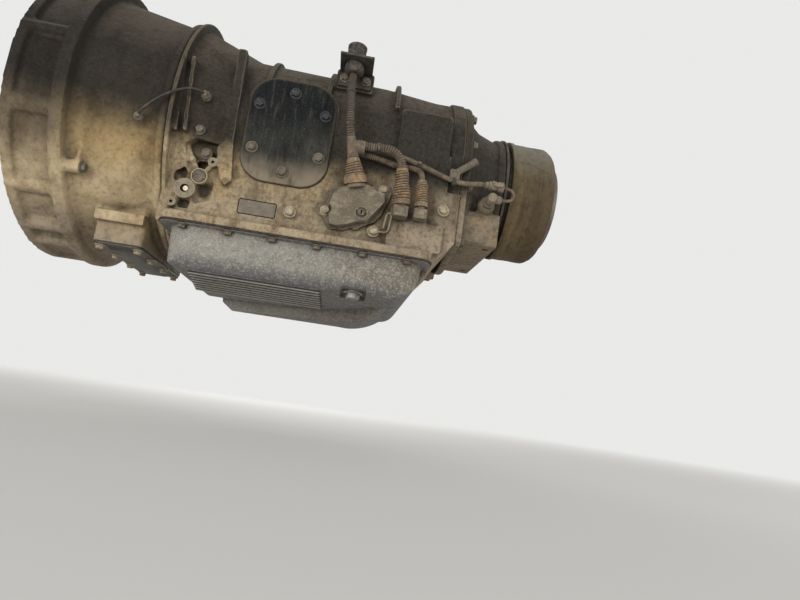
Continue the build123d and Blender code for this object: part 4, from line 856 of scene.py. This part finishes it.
# Columns: name, radius, pitch of the folds, their depth, side that the section starts from,
# finish, slot, corners of the section
LEADS = (
    ("harness_trunk", 6.0, 3.6, 0.9, FAR, lead_sleeve, "lead_sleeve", 24),
    ("solenoid_lead", 6.5, 3.6, 1.0, FAR, lead_sleeve, "lead_sleeve", 24),
    ("valve_lead", 4.5, 3.0, 0.6, FAR, lead_sleeve, "lead_sleeve", 24),
    ("sensor_lead", 4.0, 9.0, 0.35, FAR, lead_sleeve, "lead_sleeve", 24),
    ("sensor_pigtail", 2.4, 9.0, 0.0, FAR, lead_sleeve, "lead_sleeve", 24),
    ("breather_pipe", 2.0, 9.0, 0.0, BACK, black_hose, "lead_sleeve", 16),
    ("fill_tube", 14.0, 9.0, 0.0, BACK, tube_paint, "tube_paint", 40),
)
for name, radius, pitch, depth, side, finish, slot, corners in LEADS:
    convoluted = depth > 0.5
    line, run = line_of(ROUTES[name], 0.6 if convoluted else 2.0)
    dip = 1 - np.abs(np.sin(np.pi * run / pitch)) ** 0.7
    pipe = build(name + "_line", [swept(line, radius - depth * dip, side, corners)], finish,
                 "housing", slot, name)
    crease(pipe, np.repeat(dip * convoluted, corners))
present("branch_tape", cast_skin("branch_sleeve", 1.0, 4), lead_sleeve,
        "housing", "lead_sleeve", "branch_sleeve")

# Ties and clips of the leads: black nylon bands with a square head, and a bent wire clip that
# a case bolt holds against the foot of the solenoid's plug.
# Columns: lead, how far along it, radius of the lead there
TIES = (
    ("harness_trunk", 0.16, 7.2),
    ("harness_trunk", 0.62, 7.0),
    ("solenoid_lead", 0.30, 7.6),
    ("sensor_lead", 0.42, 5.2),
    ("sensor_lead", 0.70, 5.2),
)
TIE_HEAD_ROWS = ((0.4, -1), (0, -0.4), (0, 3), (0.6, 3.8))
CLIP_ROUTE = (
    (529, -167, -145), (537, -169, -141), (547, -171, -142), (550.5, -172, -138), (551, -175, -126),
    (552.5, -179, -116), (548.5, -180, -113), (544.5, -179, -116), (543.5, -176, -126), (542.5, -173, -136),
)
CLIP_RADIUS = 1.5
# Black nylon, with dust in patches
black_nylon = weathered(
    "nylon_tie", 0.7, 0.0, "#33302B", [("#6B6150", 5, 0.46, 0.62, 0.7)], [(0.8, 0.05)],
    hollow_shade=("#15120F", 4, 0.8),
)
for count, (lead, share, radius) in enumerate(TIES):
    line, _ = line_of(ROUTES[lead], 2.0)
    at = int(share * (len(line) - 1))
    along = line[at + 1] - line[at - 1]
    along /= np.linalg.norm(along)
    out = np.cross(along, BACK)
    out /= np.linalg.norm(out)
    band = turned(((radius - 1.6, -1.8), (radius, -1.9), (radius + 0.3, -1.6), (radius + 0.3, 1.6),
                   (radius, 1.9), (radius - 1.6, 1.8)), line[at], along, 24, ring=True)
    head = plate(TIE_HEAD_ROWS, line[at] + out * radius, (5, 6), 1, np.cross(along, out), along, 4)
    build(f"tie_{count}", [band, head], black_nylon, "housing", "lead_sleeve")
# Plated spring wire, dulled
bright_wire = weathered(
    "plated_wire", 0.5, 0.5, "#8C8069", [("#5A5141", 6, 0.46, 0.62, 0.6)], [(0.8, 0.04)],
)
line, _ = line_of(CLIP_ROUTE, 1.0)
build("wire_clip.001", [swept(line, np.full(len(line), CLIP_RADIUS), UP, 12)], bright_wire,
      "housing", "zinc_steel")

# Sockets of two leads: blocks of glass-filled nylon on their seats above the lower rear pad,
# each with a locking tab in front, a rib down each side and a round neck for the boot.
# Columns: name, centre along X, top, bottom, half width, face
SOCKETS = (
    ("solenoid_socket", 563.5, -102, -118.5, 11, -193),
    ("valve_socket", 593.5, -100, -116, 10, -188),
)
TAB_ROWS = ((0.5, -3), (0, -2), (0, 1.0), (0.8, 1.6))
SIDE_RIB_ROWS = ((0.3, -3), (0, -2), (0, 0.5), (0.4, 0.9))
for name, x, top, bottom, half, face in SOCKETS:
    middle = (top + bottom) / 2
    tab = plate(TAB_ROWS, (x, face, middle + 1), (half, 9), 2, steps=4)
    ribs = [plate(SIDE_RIB_ROWS, (x + side * (half - 3), face, middle), (1.6, top - bottom - 5), 0.7,
                  steps=4) for side in (-1, 1)]
    present(name + "_block", cast_skin(name, 0.7, 1, tab, *ribs), switch_nylon,
            "housing", "switch_plastic", name)

# Plug of the vehicle's harness: a round nylon connector with a ribbed locking ring, held in
# a folded steel bracket that two bolts fix to the case.
PLUG_ROWS = (
    (9, 0), (12, 1), (14.2, 3), (14.8, 4), (14.8, 15), (14.2, 16.5), (14.2, 18), (14.8, 19.5), (14.8, 24),
    (13.6, 25), (13.6, 42), (15, 43), (15, 46.5), (13.5, 48),
)
PLUG_FLANGE_ROWS = ((0.8, 19), (0, 19.8), (0, 22.2), (0.8, 23))
GRIP_ROWS = ((0.3, 26), (0, 26.6), (0, 40), (0.4, 41))
GRIP_CIRCLE = 13.4
GRIP_TURNS = np.linspace(0, 2 * np.pi, 24, endpoint=False)
BRACKET_BOLTS = ((448, -139, 108), (482, -139, 108))
build(
    "plug_body",
    [turned(PLUG_ROWS, PLUG_AT, UP, 48), plate(PLUG_FLANGE_ROWS, PLUG_AT, (42, 42), 6, up=FAR, steps=6)]
    + [plate(GRIP_ROWS, PLUG_AT + GRIP_CIRCLE * np.array((np.cos(a), np.sin(a), 0)), (2.2, 2.2), 0.9,
             up=FAR, steps=3) for a in GRIP_TURNS],
    black_nylon, "housing", "switch_plastic", "harness_plug",
)
# Blackened sheet steel with rubbed spots
dark_steel = weathered(
    "dark_sheet_steel", 0.8, 0.1, "#3A3630",
    [("#5E5649", 14, 0.45, 0.62, 0.6), ("#262320", 7, 0.5, 0.66, 0.6)],
    [(1.0, 0.06)],
    hollow_shade=("#14110E", 8, 0.8),
)
present("bracket_sheet", cast_skin("harness_bracket", 1.0, 1), dark_steel,
        "housing", "zinc_steel", "harness_bracket")
build("bracket_bolts", bolts(BRACKET_BOLTS, NEAR, 6.0), dull_bolts, "housing", "zinc_steel")

# Breather fittings: a hexagon union at each end of the breather pipe, screwed into a boss of
# the bell and one of the case.
FITTINGS_AT = ((175, -196.6, -42), (256, -183.6, 14))
FITTING_ROWS = (
    (6.6, 0), (6.8, 0.4, 1), (6.8, 5.4, 1), (6.0, 6.2, 0.6), (4.2, 6.4), (4.0, 9.5), (3.2, 10.4),
)
build("breather_fittings", [turned(FITTING_ROWS, place, NEAR, 36) for place in FITTINGS_AT], dull_bolts,
      "housing", "zinc_steel")

# Rear housing: a sand-cast aluminium cone behind the gear train, with a wing on each side for
# the rear support. A ring of flange bolts holds it to the case.
# Sand-cast aluminium, greyer than the case in front of it, and near black higher up, partly oil mist and
# partly painted shade
rear_casting = weathered(
    "sand_cast_rear", 0.88, 0.0, "#887B68",
    [
        ("#665C4E", 60, 0.42, 0.60, 0.7),
        ("#8F7D60", 40, 0.47, 0.63, 0.5),
        ("#463E34", 9, 0.57, 0.72, 0.45),
        ("#A39478", 4, 0.55, 0.66, 0.35),
    ],
    [(1.3, 0.25), (8, 0.35)],
    # Painted shade: near black towards the top, partly oil mist
    bands=[("Z", "#292723", -70, -30, 0.93)],
    grit=[("MULTIPLY", "#A89F92", 7, 0.47, 0.71, 0.8), ("SCREEN", "#403728", 3.2, 0.54, 0.70, 0.5)],
    # Painted shade: faces turned up are darker
    facing=[("#6B6153", 0.3, 0.95, 0.7)],
    worn=("#A09073", 0.45),
    hollow_shade=("#211C17", 16, 0.85),
    gloss=0.25,
)
present("rear_housing_skin", cast_skin("rear_housing", 2.4, 3), rear_casting,
        "housing", "rear_casting", "rear_housing")
# Two sets of bolts: on the arc over the housing, and along the straight foot under it
REAR_ARC = 139
REAR_TURNS = np.radians(np.arange(-15, 196, 30))
REAR_BOLTS = [(668.5, REAR_ARC * np.cos(a), REAR_ARC * np.sin(a)) for a in REAR_TURNS]
REAR_BOLTS += [(664.5, y, -127) for y in (-140, -80, -27, 27, 80, 140)]
build("rear_flange_bolts", bolts(REAR_BOLTS, BACK, 6.6), dull_bolts, "housing", "zinc_steel")

# Sensors of the rear housing: the plug of the sensor lead, and the speed sensor in its boss,
# both of glass-filled nylon with a crimped collar.
SENSOR_PLUG_AT = (698, -152, -33)
SENSOR_PLUG_ROWS = (
    (4.4, -6), (5.4, -5.6), (5.8, 0), (7.2, 0.6), (7.2, 4), (8.5, 4.6), (8.5, 11), (7.6, 12), (7.6, 14),
    (8.5, 15), (8.5, 22.6), (7, 24),
)
LATCH_AT = (712, -152, -33)
LATCH_ROWS = ((0.5, 6.5), (0, 7), (0, 10), (0.8, 10.8))
SPEED_SENSOR_AT = (706, -120, -53)
SPEED_SENSOR_ROWS = (
    (12, 0), (12, 3.8), (11, 5), (8.6, 5.4), (8.2, 7), (8.2, 12), (9.6, 12.6), (9.6, 16), (8.2, 16.6),
    (8, 36), (7, 38),
)
OUTLET_AT = (706, -150, -53)
OUTLET_ROWS = ((6.5, 0), (6.5, 13), (5.8, 13.6), (5.8, 15), (4.6, 16))
build(
    "sensor_plug_body",
    [turned(SENSOR_PLUG_ROWS, SENSOR_PLUG_AT, BACK, 40),
     plate(LATCH_ROWS, LATCH_AT, (15, 6), 1.2, steps=4)],
    switch_nylon, "housing", "switch_plastic", "sensor_plug",
)
build(
    "speed_sensor_body",
    [turned(SPEED_SENSOR_ROWS, SPEED_SENSOR_AT, NEAR, 40), turned(OUTLET_ROWS, OUTLET_AT, BACK, 32)],
    switch_nylon, "housing", "switch_plastic", "speed_sensor",
)

# Vent: a short steel pipe that leans back, with a rolled end, brazed into a cast foot on the
# side of the gearbox.
VENT_AT = (641, -157, -26)
VENT_WAY = Vector((29, 0, 24)).normalized()
VENT_ROWS = ((5.5, -4), (5.5, 36), (6.3, 37), (6.3, 41), (5.5, 42), (4, 42), (3.8, 36))
VENT_FOOT_AT = (641, -157, -29)
VENT_FOOT_ROWS = ((0.8, -6), (0, -5.2), (0, 4.6), (1.4, 6))
build(
    "vent_pipe",
    [turned(VENT_ROWS, VENT_AT, VENT_WAY, 32), plate(VENT_FOOT_ROWS, VENT_FOOT_AT, (16, 18), 3, steps=6)],
    dull_bolts, "housing", "zinc_steel", "vent_stub",
)

# Cooler unions on the far side: zinc-plated hexagon unions, each with a barbed stub on which
# the hose to the oil cooler is pushed.
UNION_ROWS = (
    (14.6, 0), (15, 0.8, 1), (15, 11.2, 1), (13.6, 12, 0.6), (9.6, 12.2), (8, 13), (8, 18), (9, 20),
    (8, 21), (8, 24), (9, 26), (8, 27), (8, 30), (9, 32), (8, 33), (8, 36), (9, 37), (8, 38), (6, 38),
    (5.6, 30),
)
for name, x in (("cooler_union_front", 300), ("cooler_union_rear", 470)):
    build(name + "_fitting", [turned(UNION_ROWS, (x, 158, -130), FAR, 36)], plated_bolts,
          "housing", "zinc_steel", name)

# Selector lever: a pressed steel arm with a ball pin for the linkage, clamped on the far end
# of the selector shaft.
present("lever_arm", cast_skin("selector_lever", 0.9, 1), plated_bolts,
        "housing", "zinc_steel", "selector_lever")

# Cap of the fill tube: moulded in black nylon with a grip ring, and pushed over the tube's
# mouth.
CAP_AT = (576, 190, 150)
CAP_WAY = Vector((-8, -4, 110)).normalized()
CAP_ROWS = ((14.5, -3), (17, -2), (18, 0), (18, 9), (17, 11.4), (15, 12), (14, 13.4), (10, 14))
build("cap_grip", [turned(CAP_ROWS, CAP_AT, CAP_WAY, 48)], black_nylon,
      "housing", "tube_paint", "fill_cap")

# Propshaft brake: a pressed backing plate with its lever, and two lined shoes in a cast iron
# drum, which rust and road dust have turned brown.
# Black paint with brake dust on it
brake_paint = weathered(
    "painted_brake_plate", 0.75, 0.0, "#35312B",
    [("#574D3E", 30, 0.45, 0.62, 0.6), ("#70634E", 6, 0.55, 0.66, 0.4)],
    [(1.0, 0.08)],
    hollow_shade=("#171410", 10, 0.8),
)
present("backing_sheet", cast_skin("backing_plate", 1.8, 1), brake_paint,
        "housing", "brake_paint", "backing_plate")
present("brake_lever_arm", cast_skin("brake_lever", 0.9, 1), dull_bolts,
        "housing", "zinc_steel", "brake_lever")
# Bonded friction lining: matt grey-brown with flecks
shoe_lining = weathered(
    "bonded_lining", 0.9, 0.0, "#4A4036", [("#63584A", 10, 0.45, 0.62, 0.6)], [(0.8, 0.08)],
)
refinish("brake_shoes", shoe_lining)
# Columns: radius, and distance along the axis
DRUM_ROWS = (
    (97, 748), (101, 747.9), (106, 748), (107, 749), (107, 755), (106, 756), (105, 757.5), (105, 776),
    (104.6, 777), (104.6, 794), (105, 795), (105, 811), (103.6, 815), (99, 822), (96, 824.6), (94, 825),
    (47.4, 825), (47.2, 824), (47.2, 816), (60, 816), (84, 816), (88, 815), (96, 808), (97, 806),
)
# Turned cast iron: rings of brown rust round it, broader than its turning marks so that they
# show, and dust on top
drum_iron = weathered(
    "cast_iron_drum", 0.8, 0.1, "#524530",
    [
        ("#6A5A3E", 22, 0.46, 0.60, 0.8, (1, 0.06, 0.06)),
        ("#3D3325", 9, 0.50, 0.64, 0.6, (1, 0.1, 0.1)),
        ("#7A6848", 4, 0.57, 0.66, 0.3),
    ],
    [(1.2, 0.12), (5, 0.1)],
    grit=[("MULTIPLY", "#B0A898", 9, 0.48, 0.70, 0.7)],
    facing=[("#7F7B6C", 0.05, 0.75, 0.8)],
    hollow_shade=("#1B1611", 12, 0.8),
    gloss=0.3,
)
build("drum_casting", [turned(DRUM_ROWS, (0, 0, 0), BACK, 144, ring=True)], drum_iron,
      "output", "drum_iron", "brake_drum")

# Output shaft and companion flange: turned steel, oiled and dull, with a hexagon nut that
# draws the flange on to the shaft.
NUT_ROWS = (
    (23, 706), (24, 707), (24, 816), (24, 818, 1), (24, 829, 1), (22, 830, 0.4), (17, 830), (16, 828),
    (15, 826), (15, 822),
)
# Turned steel with a film of oil
turned_steel = weathered(
    "turned_steel", 0.45, 0.75, "#7D756A",
    [("#5A5147", 20, 0.45, 0.62, 0.6), ("#9A8D77", 4, 0.56, 0.66, 0.4)],
    [(0.6, 0.03)],
    hollow_shade=("#1D1916", 8, 0.7),
)
build("shaft_and_nut", [turned(NUT_ROWS, (0, 0, 0), BACK, 72)], turned_steel,
      "output", "machined_steel", "output_shaft")
refinish("companion_flange", turned_steel)

# The view: from just above the ground on the wiring side, looking up and a little to the
# rear. Its place is in metres, in the shared frame.
LENS_PX = 600.0
PICTURE_PX = 800.0
SENSOR = 36.0
CAMERA_AT = Vector((0.5033, -1.0356, -0.3878))
CAMERA_RIGHT = Vector((0.98366839, -0.11450266, 0.13887276))
CAMERA_UP = Vector((-0.15565612, -0.15376071, 0.97577088))
CAMERA_BACK = Vector((-0.09037519, -0.98145137, -0.16907259))
view_data = bpy.data.cameras.new("view")
view_data.sensor_width = SENSOR
view_data.lens = SENSOR * LENS_PX / PICTURE_PX
view = bpy.data.objects.new("view", view_data)
bpy.context.scene.collection.objects.link(view)
turn = Matrix((CAMERA_RIGHT, CAMERA_UP, CAMERA_BACK)).transposed().to_4x4()
view.matrix_world = Matrix.Translation(CAMERA_AT) @ turn
bpy.context.scene.camera = view
bpy.context.scene.view_settings.view_transform = "Standard"

# Floor: plain, matt and pale, as far below the shaft as the road is under such a gearbox. Its
# far end is given the backdrop's own brightness, so that it fades out with no hard edge.
FLOOR_Z = -0.458
FLOOR_REACH = 8.0
BACKDROP = (0.82, 0.82, 0.81, 1)
# The fade, in metres: its middle, where it starts and where it is full
FADE_MIDDLE = (0.4, 0.0, FLOOR_Z)
FADE_START = 0.7
FADE_FULL = 2.3
floor_mesh = bpy.data.meshes.new("floor")
floor_mesh.from_pydata(
    [(x, y, FLOOR_Z) for x, y in ((-FLOOR_REACH, -FLOOR_REACH), (FLOOR_REACH, -FLOOR_REACH),
                                  (FLOOR_REACH, FLOOR_REACH), (-FLOOR_REACH, FLOOR_REACH))],
    [], [(0, 1, 2, 3)],
)
floor = bpy.data.objects.new("floor", floor_mesh)
bpy.context.scene.collection.objects.link(floor)
floor_finish = bpy.data.materials.new("pale_floor")
floor_finish.use_nodes = True
ground = floor_finish.node_tree
floor_shader = ground.nodes["Principled BSDF"]
floor_shader.inputs["Base Color"].default_value = linear("#CFCCC6")
floor_shader.inputs["Roughness"].default_value = 0.9
far_off = add(ground, "VectorMath", "Value", {"operation": "DISTANCE"},
              i0=add(ground, "TexCoord", "Object"), i1=FADE_MIDDLE)
far_off = add(ground, "MapRange", 0, {"interpolation_type": "SMOOTHSTEP"}, Value=far_off,
              From_Min=FADE_START, From_Max=FADE_FULL)
far_off = add(ground, "Math", 0, {"operation": "MULTIPLY"}, i0=far_off,
              i1=add(ground, "LightPath", "Is Camera Ray"))
fade = add(ground, "MixShader", "Shader", Fac=far_off, i1=floor_shader.outputs["BSDF"],
           i2=add(ground, "Emission", "Emission", Color=BACKDROP))
ground.links.new(fade, ground.nodes["Material Output"].inputs["Surface"])
floor_mesh.materials.append(floor_finish)

# Studio light: a pale world and three large lamps, the strongest low on the wiring side. The
# camera and polished metal see the world as bright as the backdrop.
WORLD_LIGHT = (0.50, 0.51, 0.53, 1)
world = bpy.data.worlds.new("studio")
bpy.context.scene.world = world
world.use_nodes = True
sky = world.node_tree
seen = add(sky, "Math", 0, {"operation": "MAXIMUM"}, i0=add(sky, "LightPath", "Is Camera Ray"),
           i1=add(sky, "LightPath", "Is Glossy Ray"))
glow = add(sky, "MixRGB", Fac=seen, Color1=WORLD_LIGHT, Color2=BACKDROP)
sky.links.new(glow, sky.nodes["Background"].inputs["Color"])
# Columns: name, place, aimed at, width, watts
LAMPS = (
    ("low_key", (-0.4, -2.0, -0.2), (0.3, 0.0, -0.1), 1.2, 34.0),
    ("side_fill", (2.0, -1.2, 0.2), (0.4, 0.0, 0.0), 1.2, 12.0),
    ("back_fill", (0.2, 2.0, 0.7), (0.4, 0.0, 0.0), 1.6, 26.0),
)
for name, place, aim, width, watts in LAMPS:
    lamp_data = bpy.data.lights.new(name, "AREA")
    lamp_data.size = width
    lamp_data.energy = watts
    lamp = bpy.data.objects.new(name, lamp_data)
    lamp.location = place
    lamp.rotation_euler = (Vector(aim) - Vector(place)).to_track_quat("-Z", "Y").to_euler()
    lamp.visible_camera = False
    bpy.context.scene.collection.objects.link(lamp)
